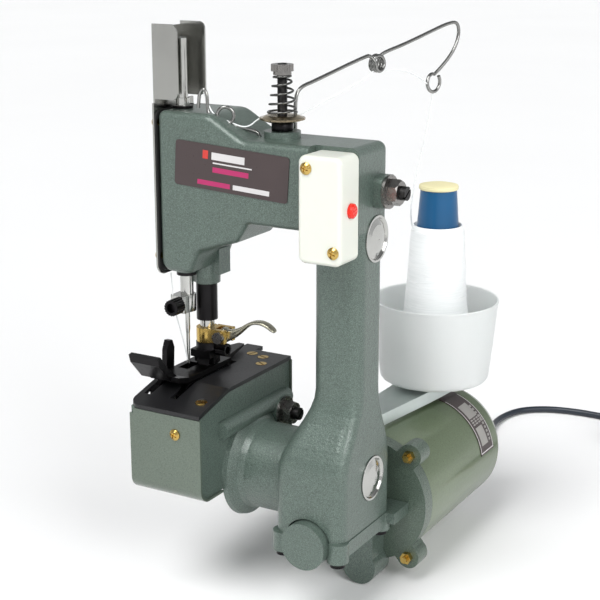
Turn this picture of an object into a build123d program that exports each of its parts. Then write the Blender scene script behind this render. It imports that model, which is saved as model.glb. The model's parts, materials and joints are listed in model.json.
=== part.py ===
"""Portable bag closer sewing machine, drawn at real size in millimetres.

Working axes: X runs along the arm, from the sewing head (-X) to the column (+X); Y runs from the
front of the column to the motor behind it; Z is up. Lengths are laid out from the column's right
face (X = 0), the front of its foot (Y = 0) and one level for Z. Each sub-part is moved by -GRIP
when it is written, so the origin of the files is the middle of the hand grip.
"""
from build123d import *
import math
import os

# ---- driving dimensions ---------------------------------------------------------------------
GRIP = (-15.5, 35.0, 145.0)          # middle of the column's hand grip
WALL = 4.5                           # casting wall
FIT = 0.05                           # radial running clearance of shafts and bars
GAP = 0.3                            # clearance between moving neighbours

FOOT_X, FOOT_Y = 45.6, 64.0          # column foot, left of X = 0 and behind Y = 0
SEAM_Z = 22.0                        # joint between column and base casting
FOOT_TOP = 58.0                      # where the foot begins to taper
GRIP_X, GRIP_FRONT, GRIP_BACK = 31.0, 19.0, 50.0
GRIP_LOW, GRIP_HIGH = 106.0, 188.0
ARM_FRONT, ARM_BACK = 8.0, 52.0
ARM_LOW, ARM_TOP = 201.0, 249.0
ARM_END = -27.2                      # step of the arm beside the switch box
HEAD_LEFT, HEAD_LOW, HEAD_TOP = -127.5, 167.0, 262.0

WORM_X, WORM_Z = -22.5, 19.0         # motor and worm shaft, along Y
SHAFT_Y, SHAFT_Z = 38.0, 47.0        # main shaft, along X
ROCK_Y, ROCK_Z = 41.5, 222.0         # rocking shaft in the arm, along X
SHAFT_R = 5.0

NEEDLE_X, NEEDLE_Y = -121.0, 26.0
PRESS_X, PRESS_Y = -114.0, 37.0
LIFTER_X, LIFTER_Z = PRESS_X + 12.5, 123.6
BAR_R = 4.0
PRESS_R = 4.5
PIN_Z, PIN_R = 107.2, 1.2            # pin of the presser foot

PLATE_Z = 100.0                      # sewing surface
PLATE_T = 2.5
CASE_L, CASE_R = -132.0, -84.0
CASE_FRONT, CASE_BACK = -18.5, 84.5
CASE_LOW = 38.0
SLOPE_Y, SLOPE_DROP = 12.0, 7.5      # the plate falls away in front of SLOPE_Y
ROW_X = (-127.5, -109.0)             # feed dog rows
TUBE_R = 26.5                        # lower arm

MOTOR_R = 40.0
MOTOR_FRONT, SHELL_FRONT, SHELL_BACK, MOTOR_BACK = 76.0, 86.0, 186.0, 200.0
EAR_X, EAR_Z = 28.5, 33.5            # through-bolt positions about the motor axis

BOWL_X, BOWL_Y, BOWL_Z = -22.7, 172.0, 71.0
BOWL_H, BOWL_TOP_R, BOWL_LOW_R = 55.0, 41.6, 36.2
CONE_LOW, CONE_TOP = BOWL_Z + 4.2, 199.0
CONE_LOW_R, CONE_TOP_R, CONE_T = 21.0, 11.8, 1.6
SPRING_X, SPRING_Y = -56.0, 30.0     # thread tension post
LABEL_TILT = 3.5                     # the arm's plate sits askew, left end high

FLOOR_Z = -32.0                      # surface under the lowest point of the machine
CORD_R = 2.5
CORD_EXIT = (-35.0, 203.0, 4.0)
CORD_ROUTE = [
    (-35.0, 222.0, 4.0),
    (-35.0, 246.0, 4.0),
    (-37.0, 276.0, -4.0),
    (-42.0, 310.0, -18.0),
    (-49.0, 344.0, -27.5),
    (-54.0, 372.0, FLOOR_Z + CORD_R),
    (-48.0, 399.0, FLOOR_Z + CORD_R),
    (-29.0, 415.0, FLOOR_Z + CORD_R),
    (-4.0, 421.0, FLOOR_Z + CORD_R),
    (22.0, 420.5, FLOOR_Z + CORD_R),
    (52.0, 419.0, FLOOR_Z + CORD_R),
    (78.0, 418.0, FLOOR_Z + CORD_R),
]
COIL_X, COIL_Y = 78.0, 388.0
COIL_R, COIL_BAND, COIL_H = 28.5, 16.0, 20.0
PLUG_X, PLUG_Y = 107.0, 350.0        # where the lead enters its plug


# ---- small helpers ---------------------------------------------------------------------------
def block(x0, x1, y0, y1, z0, z1):
    """Box between two corners."""
    return Pos((x0 + x1) / 2, (y0 + y1) / 2, (z0 + z1) / 2) * Box(x1 - x0, y1 - y0, z1 - z0)


def rod_x(x0, x1, y, z, r):
    """Cylinder along X."""
    return Pos((x0 + x1) / 2, y, z) * Rot(0, 90, 0) * Cylinder(r, x1 - x0)


def rod_y(x, y0, y1, z, r):
    """Cylinder along Y."""
    return Pos(x, (y0 + y1) / 2, z) * Rot(90, 0, 0) * Cylinder(r, y1 - y0)


def rod_z(x, y, z0, z1, r):
    """Cylinder along Z."""
    return Pos(x, y, (z0 + z1) / 2) * Cylinder(r, z1 - z0)


def hex_x(x0, x1, y, z, across):
    """Hexagonal prism along X."""
    return Pos(x0, y, z) * Rot(0, 90, 0) * extrude(RegularPolygon(across / 2, 6, major_radius=False), x1 - x0)


def hex_y(x, y0, y1, z, across):
    """Hexagonal prism along Y."""
    return Pos(x, y1, z) * Rot(90, 0, 0) * extrude(RegularPolygon(across / 2, 6, major_radius=False), y1 - y0)


def plate_xz(points, y0, y1):
    """Flat outline in the XZ plane, made solid from y0 to y1."""
    face = make_face(Polyline(*[(x, 0, z) for x, z in points], close=True))
    return Pos(0, y0, 0) * extrude(face, y1 - y0, dir=(0, 1, 0))


def plate_yz(points, x0, x1):
    """Flat outline in the YZ plane, made solid from x0 to x1."""
    face = make_face(Polyline(*[(0, y, z) for y, z in points], close=True))
    return Pos(x0, 0, 0) * extrude(face, x1 - x0, dir=(1, 0, 0))


def plate_xy(points, z0, z1):
    """Flat outline in the XY plane, made solid from z0 to z1."""
    face = make_face(Polyline(*[(x, y, 0) for x, y in points], close=True))
    return Pos(0, 0, z0) * extrude(face, z1 - z0, dir=(0, 0, 1))


def rounded_xz(corners, y0, y1):
    """Outline of (x, z, radius) corners in the XZ plane, made solid from y0 to y1."""
    face = make_face(Polyline(*[(x, z) for x, z, r in corners], close=True))
    for x, z, r in corners:
        if r:
            corner = face.vertices().sort_by_distance((x, z, 0))[0]
            face = fillet(corner, r)
    return Pos(0, y1, 0) * Rot(90, 0, 0) * extrude(face, y1 - y0)


def turned_z(x, y, profile):
    """Solid of revolution about a vertical axis, from (radius, z) points."""
    face = make_face(Polyline(*[(r, 0, z) for r, z in profile], close=True))
    return Pos(x, y, 0) * revolve(face, Axis.Z)


def turned_y(x, z, profile):
    """Solid of revolution about an axis along Y, from (radius, y) points."""
    face = make_face(Polyline(*[(r, y, 0) for r, y in profile], close=True))
    return Pos(x, 0, z) * revolve(face, Axis.Y)


def turned_x(y, z, profile):
    """Solid of revolution about an axis along X, from (radius, x) points."""
    face = make_face(Polyline(*[(x, r, 0) for r, x in profile], close=True))
    return Pos(0, y, z) * revolve(face, Axis.X)


def wire_path(points, radii, r):
    """Round wire along straight runs joined by tangent arcs."""
    path = FilletPolyline(*points, radius=radii)
    start = Plane(origin=path @ 0, z_dir=path % 0)
    return sweep(start * Circle(r), path)


def save(name, *solids):
    """Write one sub-part, moved so that the grip is the origin."""
    away = Location((-GRIP[0], -GRIP[1], -GRIP[2]))
    kept = []
    for item in solids:
        for solid in item.solids():
            kept.append(away * solid)
    shape = kept[0] if len(kept) == 1 else Compound(children=kept)
    export_step(shape, os.path.join("parts", name + ".step"))


# ---- castings --------------------------------------------------------------------------------
def column_section(z, inset=0.0):
    """Rounded rectangle of the column at one height; it narrows smoothly from foot to grip."""
    span = min(max((z - FOOT_TOP) / (GRIP_LOW - FOOT_TOP), 0.0), 1.0)
    blend = (1 - math.cos(math.pi * span)) / 2
    left = FOOT_X + (GRIP_X - FOOT_X) * blend
    front = GRIP_FRONT * blend
    back = FOOT_Y + (GRIP_BACK - FOOT_Y) * blend
    flare = min(max((z - GRIP_HIGH) / (ARM_LOW - GRIP_HIGH), 0.0), 1.0)
    back += (ARM_BACK - GRIP_BACK) * flare
    front += (17.0 - GRIP_FRONT) * flare
    wide = left - 2 * inset
    deep = back - front - 2 * inset
    centre = Pos(-left / 2, (front + back) / 2, z)
    return centre * RectangleRounded(wide, deep, 8.0 - inset)


def column_levels():
    """Heights at which the column's section is drawn."""
    steps = [FOOT_TOP + (GRIP_LOW - FOOT_TOP) * i / 8 for i in range(9)]
    return [SEAM_Z] + steps + [GRIP_HIGH, ARM_LOW + 6]


def column_solid(inset=0.0):
    """Column from foot to arm; an inset gives the hollow inside its wall."""
    return loft([column_section(z, inset) for z in column_levels()], ruled=True)


def head_outline():
    """Corners (x, z, radius) of arm and head, with the stepped contour under the head."""
    lower = [(HEAD_LEFT, HEAD_LOW, 7), (-107.5, HEAD_LOW, 3), (-101.5, 180.5, 7), (-75, 189.5, 3)]
    upper = [(-67.5, ARM_LOW, 4), (0, ARM_LOW, 0), (0, ARM_TOP, 5), (-70, ARM_TOP, 14)]
    return lower + upper + [(-92, HEAD_TOP, 14), (HEAD_LEFT, HEAD_TOP, 4)]


def column_arm_casting():
    """Column, arm and head in one hollow casting."""
    column = column_solid()
    arm = rounded_xz(head_outline(), ARM_FRONT, ARM_BACK)
    middle, half = (ARM_FRONT + ARM_BACK) / 2, (ARM_BACK - ARM_FRONT) / 2
    rims = arm.edges().filter_by(lambda e: abs(abs(e.center().Y - middle) - half) < 0.1)
    arm = fillet(rims.filter_by(lambda e: e.center().X > HEAD_LEFT + 0.1), 4.5)
    arm -= block(ARM_END, 1, 0, 17, 150, 300)
    shape = column + arm
    stud_boss = block(-4.4, 5.5, ROCK_Y - 8.5, ROCK_Y + 8.5, ROCK_Z - 9, ROCK_Z + 9)
    shape += fillet(stud_boss.edges().filter_by(Axis.X), 4)
    shape += block(-42, -12, 45, 62.9, 66.6, 84)
    shape += rod_z(SPRING_X, SPRING_Y, 245, 253, 10.5)
    shape += rod_z(PRESS_X, PRESS_Y, 156, 176, 8.5) + rod_z(NEEDLE_X, NEEDLE_Y, 164, 176, 6.4)
    shape += block(PRESS_X, PRESS_X + 12, PRESS_Y - 4, PRESS_Y + 8, 162, 178)
    shape -= column_solid(WALL)
    shape -= block(-107, -29, ARM_FRONT + WALL, ARM_BACK - 3, ARM_LOW + WALL, ARM_TOP - WALL)
    shape -= block(-30, -WALL, 17 + WALL, ARM_BACK - 3, ARM_LOW + WALL, ARM_TOP - WALL)
    shape -= block(HEAD_LEFT - 1, -106, ARM_FRONT + WALL, ARM_BACK - 3, 178, HEAD_TOP - WALL)
    shape -= rod_z(NEEDLE_X, NEEDLE_Y, 150, 300, 6.0)
    shape -= rod_z(PRESS_X, PRESS_Y, 150, 190, 6.6)
    for x in (-34.0, -19.0):
        shape -= rod_y(x, 55, 64, 75.5, 2.1)
    for y, z in face_screw_places():
        shape -= rod_x(HEAD_LEFT - 1, HEAD_LEFT + 6, y, z, 2.0)
    for x, y in ((-69.0, 27.0), (-56.0, 44.5)):
        shape -= rod_z(x, y, 240, 255, 1.15)
    shape -= rod_x(-30, 8, ROCK_Y, ROCK_Z, 4.0)
    shape -= rod_z(SPRING_X, SPRING_Y, 240, 254, 3.0)
    shape -= rod_x(-2.2, 1, 38.8, 195, 13.6) + rod_x(-20, 1, 38.8, 195, 11.5)
    shape -= rod_x(-2.2, 1, 37.6, 51, 13.6) + rod_x(-20, 1, 37.6, 51, 11.5)
    shape -= rod_x(-60, -30, SHAFT_Y, SHAFT_Z, 9.0)
    shape -= rod_y(WORM_X, -2, 66, WORM_Z, 15.0)
    return shape


def base_casting():
    """Base under the column: bearing boss for the worm shaft, bolt lugs and arms to the motor."""
    shape = block(-46.2, 0.6, 0, FOOT_Y, 13, SEAM_Z)
    shape = fillet(shape.edges().filter_by(Axis.Z), 6)
    shape += rod_y(WORM_X, -6, MOTOR_FRONT - GAP, WORM_Z, 14.2)
    for x in (-41.0, -5.0):
        shape += rod_z(x, 5, 10, SEAM_Z, 6.5)
        shape += rod_z(x, 58, 10, SEAM_Z, 6.5)
    shape += block(-8, 6, 56, MOTOR_FRONT - GAP, 15, SEAM_Z)
    shape += rod_y(WORM_X + 2.5, 60, MOTOR_FRONT + 4, FLOOR_Z + 11.5, 11.5)
    shape += block(WORM_X - 9, WORM_X + 12, 60, MOTOR_FRONT - GAP, FLOOR_Z + 11.5, 14)
    shape -= rod_y(WORM_X, -2, MOTOR_FRONT + 1, WORM_Z, 9.5)
    shape -= block(WORM_X - 9.5, WORM_X + 9.5, 12, 60, 19, 40)
    for x in (-41.0, -5.0):
        for y in (5.0, 58.0):
            shape -= rod_z(x, y, 5, 30, 3.05)
    return shape


def case_casting():
    """Looper case with the lower arm tube that joins it to the column."""
    top = PLATE_Z - PLATE_T
    outline = [(CASE_FRONT, CASE_LOW), (CASE_BACK, CASE_LOW), (CASE_BACK, top), (SLOPE_Y, top)]
    outline += [(CASE_FRONT, top - SLOPE_DROP)]
    shape = plate_yz(outline, CASE_L, CASE_R)
    inner = [(CASE_FRONT + 3, CASE_LOW + 3), (CASE_BACK - 3, CASE_LOW + 3), (CASE_BACK - 3, top + 1)]
    inner += [(CASE_FRONT + 3, top + 1)]
    tube = turned_x(SHAFT_Y, SHAFT_Z - 2, [(8, CASE_R - 3), (34, CASE_R - 3), (32.5, CASE_R + 3), (
        27.6, CASE_R + 7), (TUBE_R, CASE_R + 11), (TUBE_R, -40), (8, -40)])
    tube -= column_solid()
    tube -= block(-46.3, 0, -10, 80, -10, SEAM_Z + 0.2)
    tube -= block(-60, 0, CASE_FRONT, CASE_BACK, 0, 90) & block(-FOOT_X + 6, 0, -10, 90, 0, 100)
    shape += rod_y(CASE_R + 1, 2, CASE_BACK - 6, 76, 5.5)
    shape += rod_x(CASE_R - 2, CASE_R + 7, 66, 70, 9.5)
    shape -= plate_yz(inner, CASE_L - 1, CASE_R - 4)
    shape += tube
    shape -= rod_x(CASE_R - 5, -40, SHAFT_Y, SHAFT_Z, 8.0)
    shape -= rod_x(CASE_R - 8, CASE_R + 10, 66, 70, 4.0)
    for x, y in plate_screw_places():
        reach = y + 8 if y > 70 else y + 4
        shape += block(x - 4, x + 4, y - 4, reach, top - 8, top) & plate_yz(inner_top(), CASE_L, CASE_R)
        shape -= rod_z(x, y, top - 12, top + 4, 1.75)
    shape -= rod_y(CASE_R - 16, CASE_FRONT - 2, CASE_FRONT + 5, 78, 1.75)
    return shape


def inner_top():
    """YZ outline under the throat plate that the screw bosses are cut to."""
    top = PLATE_Z - PLATE_T
    return [(CASE_FRONT, top - 9 - SLOPE_DROP), (CASE_BACK, top - 9), (CASE_BACK, top), (SLOPE_Y, top), (
        CASE_FRONT, top - SLOPE_DROP)]


def plate_screw_places():
    """XY places of the throat plate screws."""
    return [(-90.5, -6.0), (-91, 62), (-97, 74), (-107, 77), (-128, 74)]


def throat_plate():
    """Flat sewing plate with a sloping front, feed dog slots and the needle hole."""
    top, low = PLATE_Z, PLATE_Z - PLATE_T
    front = CASE_FRONT - 1.6
    drop = SLOPE_DROP * (SLOPE_Y - front) / (SLOPE_Y - CASE_FRONT)
    side = [(front, low - drop), (SLOPE_Y, low), (CASE_BACK + 0.5, low), (CASE_BACK + 0.5, top), (
        SLOPE_Y, top), (front, top - drop)]
    shape = plate_yz(side, CASE_L - 1.5, CASE_R + 1.2)
    corner = shape.edges().filter_by(lambda e: e.center().X < CASE_L and e.center().Y < front + 1
                                     and abs(e.length - PLATE_T) < 0.6)
    shape = fillet(corner, 8)
    shape += block(-121, -109, CASE_BACK, CASE_BACK + 9, low, top)
    for x in ROW_X:
        shape -= block(x - 2.4, x + 2.4, -8, 58, 80, 110)
    shape -= rod_z(NEEDLE_X, NEEDLE_Y, 90, 110, 2.1)
    for x, y in plate_screw_places():
        lift = -SLOPE_DROP * (SLOPE_Y - y) / (SLOPE_Y - CASE_FRONT) if y < SLOPE_Y else 0.0
        shape -= rod_z(x, y, 80, 110, 2.2)
        shape -= rod_z(x, y, top + lift - 1.2, 110, 3.6)
    return shape


def throat_plate_screws():
    """Slotted screws that hold the throat plate."""
    screws = []
    for x, y in plate_screw_places():
        lift = -SLOPE_DROP * (SLOPE_Y - y) / (SLOPE_Y - CASE_FRONT) if y < SLOPE_Y else 0.0
        z = PLATE_Z + lift
        screw = rod_z(x, y, z - 1.2, z + 0.1, 3.5) + rod_z(x, y, z - 9, z - 1.2, 1.7)
        screws.append(screw - Pos(x, y, z) * Rot(0, 0, 25 + 31 * y) * Box(8, 0.8, 1.2))
    return screws


def case_cover():
    """Painted sheet that wraps the case over front, bottom and back."""
    t, proud = 1.2, 1.4
    sheet = t + 0.1
    outer = block(CASE_L - 0.5, CASE_R + proud, CASE_FRONT - sheet, CASE_BACK + sheet, CASE_LOW - sheet, 99)
    outer = fillet(outer.edges().filter_by(Axis.X).filter_by(lambda e: e.center().Z < 50), 9)
    inner = block(CASE_L - 9, CASE_R + 9, CASE_FRONT - 0.1, CASE_BACK + 0.1, CASE_LOW - 0.1, 110)
    inner = fillet(inner.edges().filter_by(Axis.X).filter_by(lambda e: e.center().Z < 50), 8)
    shape = outer - inner
    shape -= block(-200, 0, -30, 0, 89.2, 110)
    shape -= block(-200, 0, 50, 100, PLATE_Z - PLATE_T - 0.1, 110)
    shape -= block(CASE_L - 1, CASE_L + 2, -30, 100, 86, 110)
    shape -= rod_x(CASE_R - 3.6, 0, SHAFT_Y, SHAFT_Z - 2, 34.4)
    shape -= rod_y(CASE_R - 16, -30, 0, 78, 2.2)
    return shape


def case_body():
    """Case casting with lower corners rounded to sit inside the wrapped cover."""
    shape = case_casting()
    keep = block(CASE_L, 0, CASE_FRONT, CASE_BACK, 0, 110)
    rounded = block(CASE_L - 50, CASE_R + 0.01, CASE_FRONT, CASE_BACK, CASE_LOW, 150)
    rounded = fillet(rounded.edges().filter_by(Axis.X).filter_by(lambda e: e.center().Z < 50), 8)
    return shape & (rounded + block(CASE_R, 0, CASE_FRONT, CASE_BACK, 0, 110)) & keep


# ---- small fixed pieces ----------------------------------------------------------------------
def base_bolts():
    """Four socket head bolts from under the base into the column."""
    bolts = []
    for x in (-41.0, -5.0):
        for y in (5.0, 58.0):
            bolt = rod_z(x, y, 7.0, 10.0, 4.6) + rod_z(x, y, 10.0, SEAM_Z - 1, 2.95)
            bolt -= Pos(x, y, 7) * extrude(RegularPolygon(2.5, 6), 2)
            bolts.append(bolt)
    return bolts


def welch_plug(y, z):
    """Domed steel plug in the column's right face."""
    return turned_x(y, z, [(0, -2.1), (13.4, -2.1), (13.4, 0.7), (12.2, 0.7), (11.4, -0.3), (
        8.0, 0.9), (4.0, 1.5), (0, 1.7)])


def stud(y, z, x0, x1):
    """Slotted pivot stud along X."""
    body = rod_x(x0, x1, y, z, 3.95)
    return body - Pos(x1, y, z) * Rot(35, 0, 0) * Box(3.2, 9, 1.1)


def lock_nut(y, z, x0):
    """Washer and hexagon lock nut on a stud."""
    washer = rod_x(x0, x0 + 1.6, y, z, 9.6) - rod_x(x0 - 1, x0 + 3, y, z, 4.0)
    nut = hex_x(x0 + 1.6, x0 + 8.1, y, z, 13)
    chamfered = [(4.0, 0), (6.6, 0), (7.6, 2.4), (7.6, 7.1), (6.6, 8.1), (4.0, 8.1)]
    nut &= turned_x(y, z, [(r, x0 + x) for r, x in chamfered])
    return washer, nut


def switch_box():
    """White plastic box for the start button, open at the back."""
    shape = block(-27, -0.2, -3.5, 16.7, 186.8, 246.6)
    shape = fillet(shape.edges().filter_by(Axis.Y), 4.5)
    shape = fillet(shape.edges().group_by(Axis.Y)[0], 2.5)
    shape -= block(-25, -2.4, -1.3, 17, 189.0, 244.4)
    shape -= rod_x(-3, 1, 8.0, 216.5, 4.3)
    for x, z in box_screw_places():
        shape += rod_y(x, -2, 16.8, z, 3.2)
        shape -= rod_y(x, -4, 18, z, 1.55)
    return shape


def box_screw_places():
    """XZ places of the two switch box screws."""
    return [(-21.5, 239.6), (-4.6, 194.7)]


def pan_screw_y(x, y, z, depth, head=3.4, turn=20):
    """Cross-recessed pan head screw, its head facing -Y."""
    dome = turned_y(x, z, [(0, y - 2.0), (1.7, y - 1.8), (head, y - 0.6), (head, y), (0, y)])
    screw = dome + rod_y(x, y, y + depth, z, 1.5)
    cross = Box(4.2, 1.6, 0.8) + Box(0.8, 1.6, 4.2)
    return screw - Pos(x, y - 1.8, z) * Rot(0, turn, 0) * cross


def pan_head_screws():
    """All pan head screws: switch box, case cover, face plate and cone bracket."""
    screws = [pan_screw_y(x, -3.6, z, 19) for x, z in box_screw_places()]
    screws.append(pan_screw_y(CASE_R - 16, CASE_FRONT - 1.4, 78, 4))
    return screws + face_plate_screws() + bracket_screws()


def arm_label():
    """Thin plate on the front of the arm, set a little askew."""
    wide, high = 75.5, 26.0
    shape = fillet(Box(wide, 0.48, high).edges().filter_by(Axis.Y), 2)
    return Pos(-76.75, ARM_FRONT - 0.26, 231.5) * Rot(0, LABEL_TILT, 0) * shape


def face_plate():
    """Stainless cover of the head, drawn up into the two-winged guard of the needle bar."""
    x1 = HEAD_LEFT - 1.0
    x0 = x1 - 1.2
    outline = block(x0, x1, ARM_FRONT - 0.5, ARM_BACK - 4, HEAD_LOW - 3, HEAD_TOP + 4)
    outline = fillet(outline.edges().filter_by(Axis.X).filter_by(lambda e: e.center().Z < 200), 7)
    neck = block(x0, x1, 9, 38.5, HEAD_TOP, 309)
    shape = outline + neck
    for y in (9.6, 37.9):
        wing = block(x0, x0 + 17, y - 0.6, y + 0.6, HEAD_TOP + 6.5, 311)
        wing = fillet(wing.edges().filter_by(Axis.Y).filter_by(lambda e: e.center().X > x0 + 9), 4)
        shape += wing
    for y, z in face_screw_places():
        shape -= rod_x(x0 - 1, x1 + 1, y, z, 2.2)
    return shape


def face_screw_places():
    """YZ places of the face plate screws."""
    return [(11.0, 255.0), (44.0, 255.0), (11.0, 176.0), (41.0, 176.0)]


def face_plate_gasket():
    """Dark gasket between head and face plate."""
    shape = block(HEAD_LEFT - 0.9, HEAD_LEFT - 0.1, ARM_FRONT - 0.2, ARM_BACK - 2, HEAD_LOW - 0.5, HEAD_TOP)
    shape = fillet(shape.edges().filter_by(Axis.X), 5)
    shape -= block(HEAD_LEFT - 2, HEAD_LEFT + 1, ARM_FRONT + 6, ARM_BACK - 8, 180, HEAD_TOP - 6)
    for y, z in face_screw_places():
        shape -= rod_x(HEAD_LEFT - 2, HEAD_LEFT + 1, y, z, 2.2)
    return shape


def face_plate_screws():
    """Pan screws of the face plate, heads facing -X."""
    screws = []
    for y, z in face_screw_places():
        profile = [(0, -4.0), (2.4, -3.6), (3.6, -2.25), (0, -2.25)]
        head = turned_x(y, z, [(r, HEAD_LEFT + x) for r, x in profile])
        screws.append(head + rod_x(HEAD_LEFT - 2.25, HEAD_LEFT - 0.02, y, z, 1.9))
    return screws


def bushes():
    """Needle bar bush and presser bar bush under the head."""
    needle = rod_z(NEEDLE_X, NEEDLE_Y, 162, 177, 5.95) - rod_z(NEEDLE_X, NEEDLE_Y, 160, 180, BAR_R + FIT)
    presser = rod_z(PRESS_X, PRESS_Y, 132.6, 188, 6.5) - rod_z(PRESS_X, PRESS_Y, 130, 190, PRESS_R + FIT)
    upper = rod_z(NEEDLE_X, NEEDLE_Y, HEAD_TOP - 6, HEAD_TOP + 1.5, 5.95)
    upper -= rod_z(NEEDLE_X, NEEDLE_Y, 250, 270, BAR_R + FIT)
    return needle, upper, presser


# ---- needle bar, presser and feed ------------------------------------------------------------
def needle_bar():
    """Needle bar: a guided lower length and a thinner top with the thread hole."""
    shape = rod_z(NEEDLE_X, NEEDLE_Y, 139, 268, BAR_R) + rod_z(NEEDLE_X, NEEDLE_Y, 268, 303, 3.2)
    shape = chamfer(shape.edges().group_by(Axis.Z)[-1], 0.8)
    shape -= rod_y(NEEDLE_X, 0, 60, 298.5, 0.9)
    shape -= rod_z(NEEDLE_X, NEEDLE_Y, 130, 150, 1.55)
    shape += rod_z(NEEDLE_X, NEEDLE_Y, ROCK_Z - 3.5, ROCK_Z + 3.5, 6.0)
    shape += rod_x(NEEDLE_X + 5, NEEDLE_X + 13, NEEDLE_Y, ROCK_Z, 2.0)
    return shape


def needle_clamp():
    """Block that pinches the needle at the foot of the needle bar."""
    shape = block(NEEDLE_X - 6.5, NEEDLE_X + 4, NEEDLE_Y - 9, NEEDLE_Y + 4.3, 139.5, 150)
    shape = fillet(shape.edges().filter_by(Axis.Z), 1.5)
    shape += rod_z(NEEDLE_X, NEEDLE_Y, 139.5, 150, 5.4)
    shape -= rod_z(NEEDLE_X, NEEDLE_Y, 130, 160, BAR_R + 0.01)
    shape -= rod_y(NEEDLE_X, NEEDLE_Y - 10, NEEDLE_Y, 144.5, 1.8)
    return shape


def needle():
    """Needle with shank, blade, eye and point."""
    profile = [(0, 148), (1.5, 148), (1.5, 128), (1.15, 125), (1.05, 106), (0.2, 101), (0, 101)]
    shape = turned_z(NEEDLE_X, NEEDLE_Y, profile)
    return shape - rod_y(NEEDLE_X, 20, 32, 108, 0.45)


def knurled(r, length, teeth=18):
    """Knurled cylinder along +Z, standing on Z = 0."""
    points = []
    for i in range(2 * teeth):
        a = math.pi * i / teeth
        d = r if i % 2 else r - 0.45
        points.append((d * math.cos(a), d * math.sin(a)))
    return plate_xy(points, 0, length)


def needle_thumb_screw():
    """Black knurled thumb screw of the needle clamp, pointing forward."""
    head = knurled(5.0, 8) - Pos(0, 0, 6.6) * Cylinder(3, 3)
    shank = Pos(0, 0, -2.3) * Cylinder(1.75, 4.6)
    return Pos(NEEDLE_X, NEEDLE_Y - 9.15, 144.5) * Rot(90, 0, 0) * (head + shank)


def presser_bar():
    """Round presser bar."""
    return chamfer(rod_z(PRESS_X, PRESS_Y, 111.1, 196, PRESS_R).edges(), 0.4)


def presser_collar():
    """Gilt collar on the presser bar with the two ears of the lifter."""
    shape = rod_z(PRESS_X, PRESS_Y, 118.4, 127.6, 6.9)
    shape += block(PRESS_X + 4, PRESS_X + 16, PRESS_Y - 6.4, PRESS_Y + 6.4, 119.5, 127.9)
    shape -= block(PRESS_X + 7.8, PRESS_X + 17, PRESS_Y - 3.2, PRESS_Y + 3.2, 119, 130)
    shape -= rod_z(PRESS_X, PRESS_Y, 110, 135, PRESS_R + 0.01)
    return shape - rod_y(LIFTER_X, PRESS_Y - 8, PRESS_Y + 8, LIFTER_Z, 2.0)


def lifter_pivot_screw():
    """Pivot screw through the collar's ears."""
    shape = rod_y(LIFTER_X, PRESS_Y - 6.5, PRESS_Y + 6.5, LIFTER_Z, 1.98)
    shape += rod_y(LIFTER_X, PRESS_Y - 9, PRESS_Y - 6.42, LIFTER_Z, 3.6)
    return shape - Pos(LIFTER_X, PRESS_Y - 9, LIFTER_Z) * Rot(0, 40, 0) * Box(8, 1.4, 0.9)


def lifter_lever():
    """Hand lever of the presser: a hub and a curved finger piece."""
    hub = rod_y(LIFTER_X, PRESS_Y - 2.9, PRESS_Y + 2.9, LIFTER_Z, 4.4)
    spine = [(0, 0), (8, 2.5), (15, 7.5), (21, 11.0), (28, 11.2), (36, 7.5)]
    thick = [3.4, 3.0, 1.9, 1.5, 1.5, 1.2]
    top = [(LIFTER_X + x, LIFTER_Z + z + t) for (x, z), t in zip(spine, thick)]
    low = [(LIFTER_X + x, LIFTER_Z + z - t) for (x, z), t in zip(spine, thick)]
    arm = plate_xz(top + low[::-1], PRESS_Y - 2.9, PRESS_Y + 2.9)
    return hub + arm - rod_y(LIFTER_X, 20, 60, LIFTER_Z, 1.98 + FIT)


def foot_holder():
    """Black holder that clamps the presser foot to its bar."""
    shape = rod_z(PRESS_X, PRESS_Y, 110, 118.3, 7.2)
    shape += block(PRESS_X - 7.5, PRESS_X + 6.5, PRESS_Y - 8, PRESS_Y + 8, 109.4, 114)
    shape += block(PRESS_X - 7.5, PRESS_X + 6.5, PRESS_Y - 3.6, PRESS_Y + 3.6, 104.9, 110)
    shape -= block(PRESS_X - 5, PRESS_X + 4, PRESS_Y - 9, PRESS_Y + 9, 100, 109.4)
    shape -= rod_z(PRESS_X, PRESS_Y, 111.0, 120, PRESS_R + 0.01)
    shape -= rod_x(PRESS_X, PRESS_X + 12, PRESS_Y, 114.2, 1.8)
    return shape - rod_x(PRESS_X - 10, PRESS_X + 10, PRESS_Y, PIN_Z, PIN_R)


def foot_thumb_screw():
    """Black thumb screw of the foot holder, pointing right."""
    head = knurled(4.1, 7) - Pos(0, 0, 5.6) * Cylinder(2.4, 3)
    shank = Pos(0, 0, -1.2) * Cylinder(1.78, 2.4)
    return Pos(PRESS_X + 7.5, PRESS_Y, 114.2) * Rot(0, 90, 0) * (head + shank)


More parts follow.
